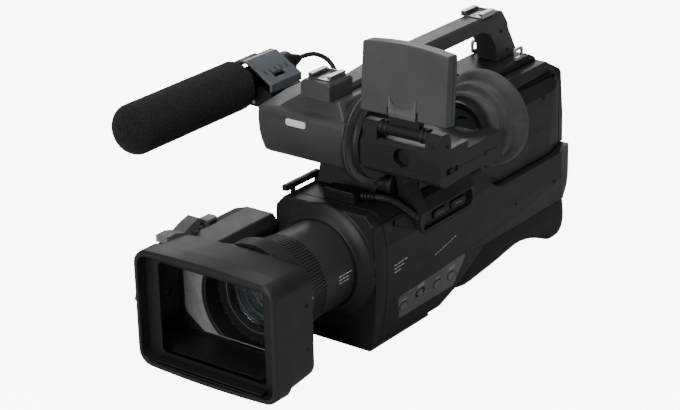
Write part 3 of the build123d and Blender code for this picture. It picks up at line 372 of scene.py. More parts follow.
def turned(maker, profile, centre, steps=96, wave=None, along="Y", closed=True):
    """Adds a surface turned about an axis along Y or X; profile points are (place on axis, radius)."""
    rows = []
    for place_on_axis, radius in profile:
        row = []
        for k in range(steps):
            angle = 2 * math.pi * k / steps
            r = radius + (wave(place_on_axis, radius, k) if wave else 0.0)
            c, s = r * math.cos(angle), r * math.sin(angle)
            if along == "Y":
                row.append(maker.verts.new((centre[0] + c, place_on_axis, centre[2] + s)))
            else:
                row.append(maker.verts.new((place_on_axis, centre[1] + c, centre[2] + s)))
        rows.append(row)
    bridged(maker, rows, closed)
    return rows


def smooth_profile(points, steps=5):
    """Catmull-Rom points through a profile, for soft turned forms."""
    result = []
    ends = [points[0]] + points + [points[-1]]
    for a, b, c, d in zip(ends, ends[1:], ends[2:], ends[3:]):
        for k in range(steps):
            t = k / steps
            result.append(tuple(
                0.5 * (2 * q + (r - p) * t + (2 * p - 5 * q + 4 * r - s) * t * t
                       + (3 * q - p - 3 * r + s) * t ** 3)
                for p, q, r, s in zip(a, b, c, d)))
    result.append(points[-1])
    return result


def soft_box(maker, low, high, radius, turn=None):
    """Adds a box with rounded edges; turn is a matrix applied last."""
    low, high = Vector(low), Vector(high)
    made = bmesh.ops.create_cube(maker, size=1.0)["verts"]
    bmesh.ops.scale(maker, vec=high - low, verts=made)
    bmesh.ops.translate(maker, vec=(low + high) / 2, verts=made)
    edges = list(dict.fromkeys(e for v in made for e in v.link_edges))
    made = bmesh.ops.bevel(maker, geom=edges, offset=radius, segments=2, profile=0.6, affect="EDGES")["verts"]
    if turn:
        whole = dict.fromkeys(v for w in made for f in w.link_faces for v in f.verts)
        bmesh.ops.transform(maker, matrix=turn, verts=list(whole))


def plate(maker, outline, near, far, pose):
    """Adds a plate with a polygon outline between two depths; pose maps (u, v, depth) to the frame."""
    rings = [[maker.verts.new(pose @ Vector((u, v, depth))) for u, v in outline] for depth in (near, far)]
    count = len(outline)
    for k in range(count):
        j = (k + 1) % count
        maker.faces.new((rings[0][k], rings[0][j], rings[1][j], rings[1][k]))
    maker.faces.new(rings[1])
    maker.faces.new(list(reversed(rings[0])))


def pose_at(point, normal, up=(0, 0, 1)):
    """A pose with its depth axis along a normal, its v axis near up, and its origin at a point."""
    depth = Vector(normal).normalized()
    v_axis = (Vector(up) - Vector(up).dot(depth) * depth).normalized()
    u_axis = v_axis.cross(depth)
    pose = Matrix((u_axis, v_axis, depth)).transposed().to_4x4()
    pose.translation = Vector(point)
    return pose


def surface_of(node):
    """The tree of a CAD node's surface, for placing trim on it; in millimetres."""
    mesh = NODES[node].data
    points = [v.co / MM for v in mesh.vertices]
    return BVHTree.FromPolygons(points, [list(f.vertices) for f in mesh.polygons])


def landed(tree, start, direction, up=(0, 0, 1)):
    """The pose where a straight line first meets a surface."""
    point, normal, _, _ = tree.ray_cast(Vector(start), Vector(direction).normalized())
    if point is None:
        raise ValueError(f"no surface from {tuple(start)}")
    if normal.dot(Vector(direction)) > 0:
        normal = -normal
    return pose_at(point, normal, up)


def bar(maker, pose, half_u, half_v, height, sink=0.1):
    """A small rounded bar on a surface pose, sunk a little into it."""
    soft_box(maker, (-half_u, -half_v, -sink), (half_u, half_v, height),
             min(half_u, half_v, (height + sink) / 2) * 0.45, pose)


def screw(maker, pose, radius):
    """A round screw head with a recessed cross."""
    steps = 32
    rings = []
    for factor, depth in ((1.0, -0.1), (1.0, 0.35), (0.88, 0.5), (0.62, 0.5), (0.6, 0.12)):
        ring = []
        for k in range(steps):
            angle = 2 * math.pi * k / steps
            pinch = 1.0 if factor > 0.62 else 0.62 + 0.38 * abs(math.cos(2 * angle)) ** 0.5
            r = radius * factor * pinch
            ring.append(maker.verts.new(pose @ Vector((r * math.cos(angle), r * math.sin(angle), depth))))
        rings.append(ring)
    bridged(maker, rings)
    maker.faces.new(rings[-1])
    maker.faces.new(list(reversed(rings[0])))


def stud(maker, pose, radius, height, steps=24, sink=0.1):
    """A short round boss with a rounded rim on a surface pose."""
    rim = min(0.3, height / 2, radius / 2)
    rings = [ring_at(maker, pose, r, depth, steps)
             for r, depth in ((radius, -sink), (radius, height - rim),
                              (radius - 0.3 * rim, height - 0.3 * rim), (radius - rim, height))]
    bridged(maker, rings)
    maker.faces.new(rings[-1])
    maker.faces.new(list(reversed(rings[0])))


def socket(maker, pose, radius, depth=0.6, steps=32):
    """A round jack: a raised ring around a hollow with a centre pin."""
    rings = [ring_at(maker, pose, r, z, steps)
             for r, z in ((radius, -0.1), (radius, depth), (radius * 0.9, depth + 0.15),
                          (radius * 0.72, depth), (radius * 0.68, 0.02), (radius * 0.24, 0.02),
                          (radius * 0.22, depth * 0.8), (0.02, depth * 0.8))]
    bridged(maker, rings)
    maker.faces.new(list(reversed(rings[0])))
    maker.faces.new(rings[-1])


def softened(node, width, angle=38):
    """Rounds the sharp edges of a CAD node by modifiers and evens out its shading."""
    piece = NODES[node]
    mesh = piece.data
    if "custom_normal" in mesh.attributes:
        mesh.attributes.remove(mesh.attributes["custom_normal"])
    mesh.polygons.foreach_set("use_smooth", [True] * len(mesh.polygons))
    weld = piece.modifiers.new("weld", "WELD")
    weld.merge_threshold = 0.004 * MM
    if width > 0:
        bevel = piece.modifiers.new("rounding", "BEVEL")
        bevel.width = width * MM
        bevel.segments = 2
        bevel.limit_method = "ANGLE"
        bevel.angle_limit = math.radians(angle)
        bevel.use_clamp_overlap = False
        bevel.miter_outer = "MITER_ARC"
    even = piece.modifiers.new("even", "WEIGHTED_NORMAL")
    even.keep_sharp = True


# Camera, light and floor
def camera():
    """A long lens on the photograph's viewing angle."""
    azimuth, elevation, roll = math.radians(37.5), math.radians(22.4), math.radians(-1.45)
    back = Vector((math.sin(azimuth) * math.cos(elevation), -math.cos(azimuth) * math.cos(elevation),
                   math.sin(elevation)))
    data = bpy.data.cameras.new("camera")
    data.lens = 113.8
    data.sensor_width = 36
    data.clip_start, data.clip_end = 0.05, 50
    made = bpy.data.objects.new("camera", data)
    bpy.context.scene.collection.objects.link(made)
    made.location = (0.9645, -1.2860, 0.7637)
    made.rotation_mode = "QUATERNION"
    level = (-back).to_track_quat("-Z", "Y")
    made.rotation_quaternion = level @ Matrix.Rotation(roll, 4, "Z").to_quaternion()
    bpy.context.scene.camera = made


def area_light(name, place_at, aim, size, power):
    """A soft rectangular light aimed at a point."""
    data = bpy.data.lights.new(name, "AREA")
    data.shape = "RECTANGLE"
    data.size, data.size_y = size
    data.energy = power
    made = bpy.data.objects.new(name, data)
    bpy.context.scene.collection.objects.link(made)
    made.location = place_at
    made.rotation_mode = "QUATERNION"
    made.rotation_quaternion = (Vector(aim) - Vector(place_at)).to_track_quat("-Z", "Y")


def studio():
    """Pale floor, a world that is brighter above, and soft lights above, in front, beside and behind."""
    world = bpy.data.worlds.new("studio")
    world.use_nodes = True
    tree = world.node_tree
    lighting = tree.nodes["Background"]
    sky = tree.nodes.new("ShaderNodeTexCoord")
    split = tree.nodes.new("ShaderNodeSeparateXYZ")
    tree.links.new(sky.outputs["Generated"], split.inputs["Vector"])
    height = tree.nodes.new("ShaderNodeMapRange")
    height.inputs["From Min"].default_value = -0.2
    height.inputs["To Min"].default_value = 0.85
    height.inputs["To Max"].default_value = 1.3
    tree.links.new(split.outputs["Z"], height.inputs["Value"])
    tree.links.new(height.outputs["Result"], lighting.inputs["Strength"])
    white = tree.nodes.new("ShaderNodeBackground")
    white.inputs["Strength"].default_value = WHITE
    seen_by_camera(tree, lighting.outputs["Background"], white.outputs["Background"], "World Output")
    bpy.context.scene.world = world
    mesh = bpy.data.meshes.new("floor")
    mesh.from_pydata([(-6, -6, 0), (6, -6, 0), (6, 6, 0), (-6, 6, 0)], [], [(0, 1, 2, 3)])
    floor = bpy.data.objects.new("floor", mesh)
    floor.location.z = cad_box[0].z
    mesh.materials.append(floor_material())
    bpy.context.scene.collection.objects.link(floor)
    area_light("top_light", (0.2, -0.1, 2.0), (0, 0, 0.1), (1.8, 1.8), 34)
    area_light("front_light", (0.1, -2.3, 0.9), (0, 0, 0.1), (1.6, 1.2), 42)
    area_light("side_light", (2.0, 0.8, 0.9), (0, 0.05, 0.1), (1.0, 1.0), 4)
    area_light("back_light", (-1.5, 2.0, 1.3), (0, 0, 0.1), (1.4, 1.0), 16)


camera()
studio()

# CAD nodes: finish and rounded edges
SLOT_OF = {row["node"]: row["material_slot"] for row in frame["record"]["subparts"]}
EDGE_MM = {
    "front_bezel": 0.7, "left_side_cover": 0.4, "right_side_cover": 0.5, "top_deck": 0.5, "base_plate": 0.4,
    "upper_housing": 0.9, "rear_panel": 0.5, "control_panel": 0.2, "neck_housing": 0.8,
    "top_handle": 0.7, "handle_base": 0.8, "hood_shell": 0.6, "hood_mask": 0.3, "grip_housing": 0.6,
    "viewfinder_body": 0.25, "lcd_hinge": 0.3, "lcd_panel": 0.2, "mic_holder": 0.4, "mic_holder_lid": 0.5,
    "battery_pack": 0.3, "lens_barrel": 0.3, "cassette_door": 0.4, "viewfinder_plug": 0.35,
    "accessory_shoes": 0.15, "strap_eyelets": 0.2, "lens_cover_lever": 0.5, "hood_release": 0.2,
    "zoom_rocker": 0.3, "mode_dial": 0.3, "mic_tube": 0.3,
}
# Painted light: these parts take lighter copies of their plastics, standing in for the light that falls on
# them.
LOOK_OF = {"arm_housing": "painted_lit_body_plastic", "top_handle": "painted_lit_body_plastic", "lens_barrel": "painted_lit_barrel_plastic"}
for node_name, node_object in NODES.items():
    node_object.data.materials.clear()
    node_object.data.materials.append(MATERIALS[LOOK_OF.get(node_name, SLOT_OF[node_name])])
    softened(node_name, EDGE_MM.get(node_name, 0.0))

LENS = JOINT_AT["focus_turn"]
TILT = JOINT_AT["viewfinder_tilt"]
HINGE = JOINT_AT["lcd_tilt"]
LCD_TURN = (Matrix.Translation(HINGE) @ Matrix.Rotation(math.radians(-LEAN_DEG), 4, "X")
            @ Matrix.Translation(-HINGE))


# Cords; the route's points repeat the model's, in metres
def cord(name, node, points, radius):
    """A free cord as one smooth spline."""
    curve = bpy.data.curves.new(name, "CURVE")
    curve.dimensions = "3D"
    curve.bevel_depth = radius * MM
    curve.bevel_resolution = 6
    curve.resolution_u = 12
    spline = curve.splines.new("NURBS")
    spline.points.add(len(points) - 1)
    for point, (x, y, z) in zip(spline.points, points):
        point.co = (x, y, z, 1)
    spline.order_u = 3
    spline.use_endpoint_u = True
    piece = bpy.data.objects.new(name, curve)
    bpy.context.scene.collection.objects.link(piece)
    curve.materials.append(MATERIALS["cord_rubber"])
    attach(piece, "chassis")
    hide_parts(node)


cord("microphone_cord", "mic_cord", [
    (-0.092, 0.040, 0.198), (-0.092, 0.049, 0.198), (-0.089, 0.060, 0.197), (-0.080, 0.068, 0.1895),
    (-0.068, 0.063, 0.175), (-0.060, 0.054, 0.160), (-0.0595, 0.046, 0.141), (-0.0505, 0.044, 0.131),
    (-0.038, 0.044, 0.131)], 2.0)
cord("viewfinder_cord", "viewfinder_lead", [
    (0.0295, -0.0216, 0.1218), (0.0361, -0.0192, 0.1218), (0.0424, -0.0156, 0.1196),
    (0.0474, -0.0110, 0.1150), (0.0510, -0.0052, 0.1086), (0.0519, -0.0002, 0.1040)],
    2.2)


# Lens, focus ring and hood
def focus_grip():
    """Ribbed focus ring with a smooth flange in front."""
    low, high = box("focus_ring")
    rear, front, outer = high.y, low.y, (high.x - low.x) / 2
    bore = outer - 5.84
    ribs, steps = 96, 8

    def tooth(y, r, k):
        return -0.85 if rear - 3.1 > y > front + 3.4 and r > bore + 1 and k % steps > 4 else 0.0

    profile = [(rear, bore), (rear, outer - 3.5), (rear - 0.5, outer - 3.0), (rear - 3.0, outer - 2.8),
               (rear - 3.3, outer - 2.75), (front + 3.6, outer - 0.35), (front + 3.2, outer - 0.3),
               (front + 2.4, outer), (front + 0.8, outer), (front, outer - 0.8), (front, bore)]
    maker = bmesh.new()
    turned(maker, profile, LENS, steps=ribs * steps, wave=tooth)
    # Painted highlight: the ring takes the barrel's lighter plastic instead of the rubber of its slot.
    piece = finished("focus_grip", maker, "focus_ring", "rubber", MATERIALS["painted_lit_barrel_plastic"])
    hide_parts("focus_ring")


def focus_scale():
    """Distance scale: a row of small dots and an index mark on the focus ring's front edge."""
    low, high = box("focus_ring")
    outer, y = (high.x - low.x) / 2, low.y + 1.5
    maker = bmesh.new()
    for k in range(13):
        angle = math.radians(84 + 2.9 * k)
        normal = Vector((math.cos(angle), 0, math.sin(angle)))
        stud(maker, pose_at(Vector((LENS.x, y, LENS.z)) + normal * (outer - 0.02), normal, (0, 1, 0)),
             0.5, 0.12, 12)
    angle = math.radians(4)
    normal = Vector((math.cos(angle), 0, math.sin(angle)))
    spot = Vector((LENS.x, y, LENS.z)) + normal * (outer - 0.02)
    bar(maker, pose_at(spot, normal, (0, 1, 0)), 0.9, 1.0, 0.15)
    finished("focus_scale", maker, "focus_ring", "lamp", INK)


def lens_front():
    """Stepped trim rings in front of the glass, with a fine bright rim."""
    y = box("lens_barrel")[0].y
    maker = bmesh.new()
    turned(maker, [(y + 0.1, 41.9), (y - 1.2, 41.9), (y - 1.6, 41.4), (y - 1.6, 40.6), (y - 0.5, 40.2),
                   (y - 0.5, 38.2), (y - 1.0, 37.8), (y - 1.0, 34.4), (y - 0.3, 34.0), (y - 0.3, 31.6),
                   (y - 0.9, 31.2), (y - 0.9, 29.6), (y + 0.1, 29.1)], LENS, 144)
    finished("lens_trim_rings", maker, "chassis", "dark_plastic")
    maker = bmesh.new()
    turned(maker, [(y - 1.5, 41.0), (y - 1.75, 40.95), (y - 1.75, 40.65), (y - 1.5, 40.6)], LENS, 144)
    turned(maker, [(y - 0.85, 30.2), (y - 1.05, 30.15), (y - 1.05, 29.9), (y - 0.85, 29.85)], LENS, 144)
    for k in range(24):
        angle = math.radians(15 * k + 4)
        point = Vector((LENS.x + 39.2 * math.cos(angle), y - 0.45, LENS.z + 39.2 * math.sin(angle)))
        bar(maker, pose_at(point, (0, -1, 0), (math.cos(angle), 0, math.sin(angle))), 0.28, 0.95, 0.12)
    finished("lens_scale", maker, "chassis", "grey_plastic")


def lens_inside():
    """Blackened steps of the inner barrel, narrowing to the rear glass."""
    front = box("front_lens")[1].y + 0.6
    profile, y, radius = [(front, 28.6)], front, 28.6
    for drop, run in ((3.6, 1.0), (0.5, 3.4), (4.4, 0.8), (0.4, 3.6), (4.2, 0.8), (0.4, 3.2), (3.6, 0.8)):
        y, radius = y + run, radius - drop
        profile.append((y, radius))
    profile += [(y + 1.5, radius), (y + 1.5, 30.6), (front, 30.6)]
    maker = bmesh.new()
    turned(maker, profile, LENS, 96)
    finished("inner_barrel_steps", maker, "chassis", "dark_plastic")
    maker = bmesh.new()
    dome = [(y + 0.2 + 2.6 * (1 - math.cos(math.radians(a))), 11.2 * math.sin(math.radians(a)) + 0.02)
            for a in range(0, 91, 9)]
    rows = turned(maker, dome, LENS, 64, closed=False)
    maker.faces.new(rows[0])
    maker.faces.new(rows[-1])
    finished("inner_glass", maker, "chassis", "dark_plastic", MATERIALS["gloss_grey"])
    maker = bmesh.new()
    for depth, r in ((1.02, 25.0), (5.22, 20.1), (9.62, 15.5)):
        turned(maker, [(front + depth - 0.2, r + 0.35), (front + depth - 0.35, r + 0.2),
                       (front + depth - 0.2, r)], LENS, 96)
    finished("inner_barrel_rims", maker, "chassis", "grey_plastic")


def hood_plate():
    """Satin plate inside the hood around the lens, cut away at its lower corners."""
    rear = box("upper_cover_blade")[1].y
    half_x, low, high, cut, hole = 60.0, LENS.z - 33.5, LENS.z + 33.5, 19.0, 42.4
    near, far = rear - 0.55, rear - 0.1
    outer = [(half_x, high - 6), (half_x - 6, high), (-half_x + 6, high), (-half_x, high - 6),
             (-half_x, low + cut * 0.7), (-half_x + cut, low), (half_x - cut, low), (half_x, low + cut * 0.7)]
    maker = bmesh.new()
    steps = 96
    rings = []
    for y in (near, far):
        inner_ring, outer_ring = [], []
        for k in range(steps):
            angle = 2 * math.pi * (k + 0.5) / steps
            way = Vector((math.cos(angle), math.sin(angle)))
            reach = min_reach(outer, way)
            inner_ring.append(maker.verts.new((LENS.x + min(hole, reach - 0.6) * way.x, y,
                                               LENS.z + min(hole, reach - 0.6) * way.y)))
            outer_ring.append(maker.verts.new((LENS.x + reach * way.x, y, LENS.z + reach * way.y)))
        rings.append((inner_ring, outer_ring))
    (a_in, a_out), (b_in, b_out) = rings
    for k in range(steps):
        j = (k + 1) % steps
        maker.faces.new((a_in[k], a_in[j], a_out[j], a_out[k]))
        maker.faces.new((b_in[k], b_out[k], b_out[j], b_in[j]))
        maker.faces.new((a_out[k], a_out[j], b_out[j], b_out[k]))
        maker.faces.new((a_in[k], b_in[k], b_in[j], a_in[j]))
    finished("hood_back_plate", maker, "chassis", "grey_plastic")


def min_reach(outline, way):
    """How far a polygon around the lens axis reaches in one direction."""
    best = 1e9
    for (x0, z0), (x1, z1) in zip(outline, outline[1:] + outline[:1]):
        ax, az, dx, dz = x0, z0 - LENS.z, x1 - x0, z1 - z0
        cross = way.x * dz - way.y * dx
        if abs(cross) < 1e-9:
            continue
        distance = (ax * dz - az * dx) / cross
        part = (ax * way.y - az * way.x) / cross
        if distance > 0 and -1e-6 <= part <= 1 + 1e-6:
            best = min(best, distance)
    return best


def hood_ledges():
    """Two ledges along the rim's lower lip and two screws in each side of the hood."""
    low, high = box("hood_shell")
    tree = surface_of("hood_shell")
    maker = bmesh.new()
    for drop in (6.4, 9.0):
        soft_box(maker, (low.x + 16, low.y + 0.6, low.z + drop - 0.7),
                 (high.x - 16, low.y + 12.2, low.z + drop), 0.3)
    for side in (-1, 1):
        for z in (LENS.z - 18, LENS.z + 18):
            pose = landed(tree, (side * 90, low.y + 42, z), (-side, 0, 0))
            screw(maker, pose, 1.7)
    finished("hood_ledges", maker, "chassis", "dark_plastic")


focus_grip()
focus_scale()
lens_front()
lens_inside()
hood_plate()
hood_ledges()


# Soft goods
def eyecup():
    """Stepped rubber eyecup with a rolled rim."""
    low, high = box("eyecup")
    rear = low.y
    centre = ((low.x + high.x) / 2, 0, (low.z + high.z) / 2)
    outside = [(0, 26.8), (1.6, 28.6), (4.4, 28.9), (7.0, 28.2), (8.8, 27.9), (10.4, 29.6), (12.2, 32.2),
               (14.8, 33.2), (18.0, 33.0), (20.4, 33.6), (22.8, 36.6), (25.6, 38.8), (29.0, 39.7),
               (31.8, 39.8), (33.0, 39.0), (32.8, 37.8), (30.0, 36.6), (24.0, 33.0), (17.0, 29.0),
               (11.0, 23.4), (6.5, 20.0), (3.0, 19.6), (0, 19.6)]
    profile = [(rear + min(max(y, 0.0), 33.0), min(r, 39.95)) for y, r in smooth_profile(outside, 4)]
    maker = bmesh.new()
    turned(maker, profile, centre, 128)
    # Painted highlight: the eyecup takes the lighter copy of the rubber.
    piece = finished("painted_lit_eyecup_rubber", maker, "viewfinder", "rubber", MATERIALS["painted_lit_eyecup_rubber"])
    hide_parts("eyecup")


def windscreen():
    """Foam windscreen: a sleeve with a domed nose and an uneven open-cell surface."""
    low, high = box("mic_windscreen")
    front, rear, outer = low.y, high.y, (high.x - low.x) / 2
    centre = ((low.x + high.x) / 2, 0, (low.z + high.z) / 2)
    bore = box("mic_tube")[1].x - centre[0] + 0.12
    tube_front = box("mic_tube")[0].y - 0.4
    dome = [(front + 14.0 * (1 - math.cos(math.radians(a))), (outer - 0.3) * math.sin(math.radians(a)))
            for a in range(6, 91, 6)]
    length = rear - 4 - dome[-1][0]
    sleeve = [(dome[-1][0] + length * k / 70, outer - 0.3) for k in range(1, 71)]
    tail = [(rear - 2.6, outer - 0.7), (rear - 1.2, outer - 1.9), (rear - 0.4, outer - 3.6),
            (rear - 0.3, bore + 1)]
    inside = [(rear - 1.2, bore), (tube_front, bore), (tube_front, 0.4)]
    maker = bmesh.new()
    rows = turned(maker, dome + sleeve + tail + inside, centre, 132, closed=False)
    maker.faces.new(rows[0])
    maker.faces.new(rows[-1])
    for row in rows[:-4]:
        for vert in row:
            outward = Vector((vert.co.x - centre[0], 0, vert.co.z - centre[2])).normalized()
            coarse = noise.noise(vert.co * 0.16)
            fine = noise.noise(vert.co * 0.9)
            vert.co += outward * min(0.26, 0.16 * coarse + 0.12 * fine)
    piece = finished("foam_windscreen", maker, "chassis", "foam")
    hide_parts("mic_windscreen")


def band_path(points, count):
    """Evenly spaced points of a smooth curve through a few."""
    fine = [Vector(p) for p in smooth_profile(points, 24)]
    lengths = [0.0]
    for a, b in zip(fine, fine[1:]):
        lengths.append(lengths[-1] + (b - a).length)
    result, place = [], 0
    for k in range(count):
        target = lengths[-1] * k / (count - 1)
        while place < len(fine) - 2 and lengths[place + 1] < target:
            place += 1
        part = (target - lengths[place]) / max(1e-9, lengths[place + 1] - lengths[place])
        result.append(fine[place].lerp(fine[place + 1], min(1.0, part)))
    return result


def hand_strap():
    """Padded hand strap: a crowned band with a bound edge and two rows of stitches."""
    low, high = box("hand_strap")
    middle = (low.z + high.z) / 2
    half = (high.z - low.z) / 2 - 0.3
    x0, y0, y1 = high.x, low.y, high.y
    out = low.x
    route = [(x0 + 0.6, y0 + 2.4), (out + 6.4, y0 + 12), (out + 2.3, y0 + 33), (out + 3.0, y0 + 59),
             (out + 8.2, y1 - 11), (x0 + 0.6, y1 - 2.2)]
    centres = band_path(route, 72)
    around = 36
    maker, stitches = bmesh.new(), bmesh.new()
    rings = []
    for k, centre in enumerate(centres):
        before, after = centres[max(0, k - 1)], centres[min(len(centres) - 1, k + 1)]
        along = (after - before).normalized()
        side = Vector((along.y, -along.x))
        if side.x > 0:
            side = -side
        share = k / (len(centres) - 1)
        waist = 1 - 0.32 * abs(2 * share - 1) ** 3
        thick = 1.75 * (1 - 0.35 * abs(2 * share - 1) ** 4)
        ring = []
        for j in range(around):
            angle = 2 * math.pi * j / around
            c, s = math.cos(angle), math.sin(angle)
            v = half * waist * math.copysign(abs(s) ** 0.32, s)
            edge = abs(v) / (half * waist)
            crown = 1.0 if edge < 0.74 else 0.62
            channel = 0.72 if 0.72 < edge < 0.82 else 1.0
            u = thick * crown * channel * math.copysign(abs(c) ** 0.6, c)
            spot = centre + side * u
            ring.append(maker.verts.new((spot.x, spot.y, middle + v)))
        rings.append(ring)
        if 3 < k < len(centres) - 4 and k % 2 == 0:
            for sign in (-1, 1):
                spot = centre + side * thick * 0.5
                pose = pose_at((spot.x, spot.y, middle + sign * half * waist * 0.9), (side.x, side.y, 0))
                soft_box(stitches, (-1.0, -0.18, 0.1), (1.0, 0.18, 0.75), 0.12, pose)
    bridged(maker, rings)
    maker.faces.new(rings[0])
    maker.faces.new(rings[-1])
    piece = finished("hand_strap_pad", maker, "chassis", "strap_fabric")
    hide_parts("hand_strap")
    finished("hand_strap_stitching", stitches, "chassis", "grey_plastic")


def shoulder_pad():
    """Rubber shoulder pad: rounded by remeshing, with cross ribs in its saddle."""
    source = NODES["shoulder_pad"].data
    mesh = source.copy()
    mesh.name = "shoulder_rest"
    if "custom_normal" in mesh.attributes:
        mesh.attributes.remove(mesh.attributes["custom_normal"])
    piece = bpy.data.objects.new("shoulder_rest", mesh)
    bpy.context.scene.collection.objects.link(piece)
    remesh = piece.modifiers.new("remesh", "REMESH")
    remesh.mode = "VOXEL"
    remesh.voxel_size = 0.0021
    relax = piece.modifiers.new("relax", "SMOOTH")
    relax.factor, relax.iterations = 0.5, 5
    rounded = bpy.data.meshes.new_from_object(piece.evaluated_get(bpy.context.evaluated_depsgraph_get()))
    piece.modifiers.clear()
    piece.data = rounded
    low, high = box("shoulder_pad")
    normals = [v.normal.copy() for v in rounded.vertices]
    for vert, normal in zip(rounded.vertices, normals):
        x, y, z = vert.co / MM
        if normal.z < -0.45 and low.y + 26 < y < high.y - 26 and abs(x) < 36:
            depth = 0.55 * (1 + math.cos(2 * math.pi * y / 8.0)) * min(1.0, (36 - abs(x)) / 3)
            vert.co -= normal * depth * MM
        if z > high.z - 1.2:
            vert.co.z = min(vert.co.z, (high.z - 0.1) * MM)
    rounded.polygons.foreach_set("use_smooth", [True] * len(rounded.polygons))
    rounded.materials.clear()
    rounded.materials.append(MATERIALS["rubber"])
    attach(piece, "chassis")
    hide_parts("shoulder_pad")


eyecup()
windscreen()
hand_strap()
shoulder_pad()


# Viewfinder and LCD
def viewfinder_shoulder():
    """Smooth shoulder that joins the round tilt joint to the square viewfinder housing."""
    low = box("viewfinder_body")[0]
    start_x, end_x = low.x + 6.6, low.x + 12.8
    maker = bmesh.new()
    steps, rows = 96, []
    radius, half_y, half_z = 33.6, 27.0, 13.5
    middle_y, middle_z = TILT.y - 2, TILT.z - 1.5
    for k in range(9):
        share = k / 8
        ease = share * share * (3 - 2 * share)
        row = []
        for j in range(steps):
            angle = 2 * math.pi * j / steps
            c, s = math.cos(angle), math.sin(angle)
            square_y = half_y * math.copysign(abs(c) ** 0.4, c)
            square_z = half_z * math.copysign(abs(s) ** 0.4, s)
            y = (1 - ease) * (TILT.y + radius * c) + ease * (middle_y + square_y)
            z = (1 - ease) * (TILT.z + radius * s) + ease * (middle_z + square_z)
            row.append(maker.verts.new((start_x + (end_x - start_x) * share, y, z)))
        rows.append(row)
    bridged(maker, rows)
    maker.faces.new(rows[0])
    maker.faces.new(rows[-1])
    finished("viewfinder_shoulder", maker, "viewfinder", "body_plastic")


def tilt_collar():
    """Grooved collar on the arm's end, round the tilt axis."""
    end = box("arm_housing")[1].x
    maker = bmesh.new()
    turned(maker, [(end - 7.0, 37.0), (end - 6.2, 38.4), (end - 3.6, 38.4), (end - 3.0, 37.2),
                   (end - 2.2, 37.2), (end - 1.6, 38.3), (end - 0.7, 38.3), (end - 0.1, 37.4),
                   (end - 0.1, 36.6), (end - 7.0, 36.0)],
           TILT, 144, along="X")
    for vert in maker.verts:
        vert.co.z = max(vert.co.z, TILT.z - 37.6)
    finished("tilt_collar", maker, "chassis", "body_plastic")


def ear_screws():
    """Screws in the ears' fronts and on the viewfinder's left side."""
    low, high = box("viewfinder_body")
    tree = surface_of("viewfinder_body")
    maker = bmesh.new()
    for x, z in ((low.x + 17.5, HINGE.z - 4), (high.x - 6.5, HINGE.z - 4)):
        screw(maker, landed(tree, (x, low.y - 30, z), (0, 1, 0)), 1.8)
    for y, z in ((low.y + 62, TILT.z - 6), (low.y + 10, HINGE.z - 6)):
        screw(maker, landed(tree, (high.x + 30, y, z), (-1, 0, 0)), 1.6)
    finished("viewfinder_screws", maker, "viewfinder", "dark_plastic")


def viewfinder_seam():
    """Parting line along the housing's front and left side, a raised bead."""
    low, high = box("viewfinder_body")
    tree = surface_of("viewfinder_body")
    maker = bmesh.new()
    z = low.z + 33.2 - 5.5
    front = [landed(tree, (low.x + 13 + 7 * k, low.y - 30, z), (0, 1, 0)) for k in range(11)]
    for a, b in zip(front, front[1:]):
        middle = a.copy()
        middle.translation = (a.translation + b.translation) / 2
        bar(maker, middle, 3.6, 0.28, 0.25)
    for k in range(12):
        y = low.y + 4 + 6.6 * k
        bar(maker, landed(tree, (high.x + 30, y, z), (-1, 0, 0)), 3.4, 0.28, 0.25)
    finished("viewfinder_seam", maker, "viewfinder", "dark_plastic")


def lcd_tongue():
    """Scooped tongue over the hinge on the display's outer face, with a step below it."""
    y = HINGE.y - 6.0
    base = HINGE.z + 11.0
    arc = [(11.5 * math.cos(math.radians(a)), 16.0 - 8.5 * math.sin(math.radians(a)))
           for a in range(0, 181, 15)]
    outline = [(-12.5, 0.4), (12.5, 0.4), (12.5, 16.0)] + arc + [(-12.5, 16.0)]
    pose = Matrix(((1, 0, 0, HINGE.x), (0, 0, -1, y), (0, 1, 0, base), (0, 0, 0, 1)))
    maker = bmesh.new()
    plate(maker, outline, -0.3, 0.9, LCD_TURN @ pose)
    soft_box(maker, (HINGE.x - 12.5, y - 1.3, base + 0.3), (HINGE.x + 12.5, y + 0.2, base + 3.4), 0.5,
             LCD_TURN)
    finished("display_tongue", maker, "lcd", "lcd_plastic")


def lcd_trim():
    """Bezel around the screen, a row of keys under it and the housing's parting line."""
    y_back = HINGE.y + 6.0
    low_z, high_z = HINGE.z + 11.0, HINGE.z + 68.5
    maker = bmesh.new()
    for sign in (-1, 1):
        soft_box(maker, (HINGE.x + sign * 34.6 - 1.3, y_back - 0.3, low_z + 7), (HINGE.x + sign * 34.6 + 1.3,
                 y_back + 0.5, high_z - 7), 0.3, LCD_TURN)
    for z in (low_z + 6.9, high_z - 6.9):
        soft_box(maker, (HINGE.x - 35.8, y_back - 0.3, z - 1.1), (HINGE.x + 35.8, y_back + 0.5, z + 1.1), 0.3,
                 LCD_TURN)
    for k in range(5):
        x = HINGE.x - 22 + 11 * k
        soft_box(maker, (x - 3.2, y_back - 0.3, low_z + 1.6), (x + 3.2, y_back + 0.9, low_z + 4.2), 0.5,
                 LCD_TURN)
    finished("display_bezel", maker, "lcd", "dark_plastic")
    maker = bmesh.new()
    for sign in (-1, 1):
        soft_box(maker, (HINGE.x + sign * 39.4 - 0.3, HINGE.y + 1.6, low_z + 3),
                 (HINGE.x + sign * 39.4 + 0.3, HINGE.y + 2.2, high_z - 6), 0.1, LCD_TURN)
    finished("display_seam", maker, "lcd", "dark_plastic")


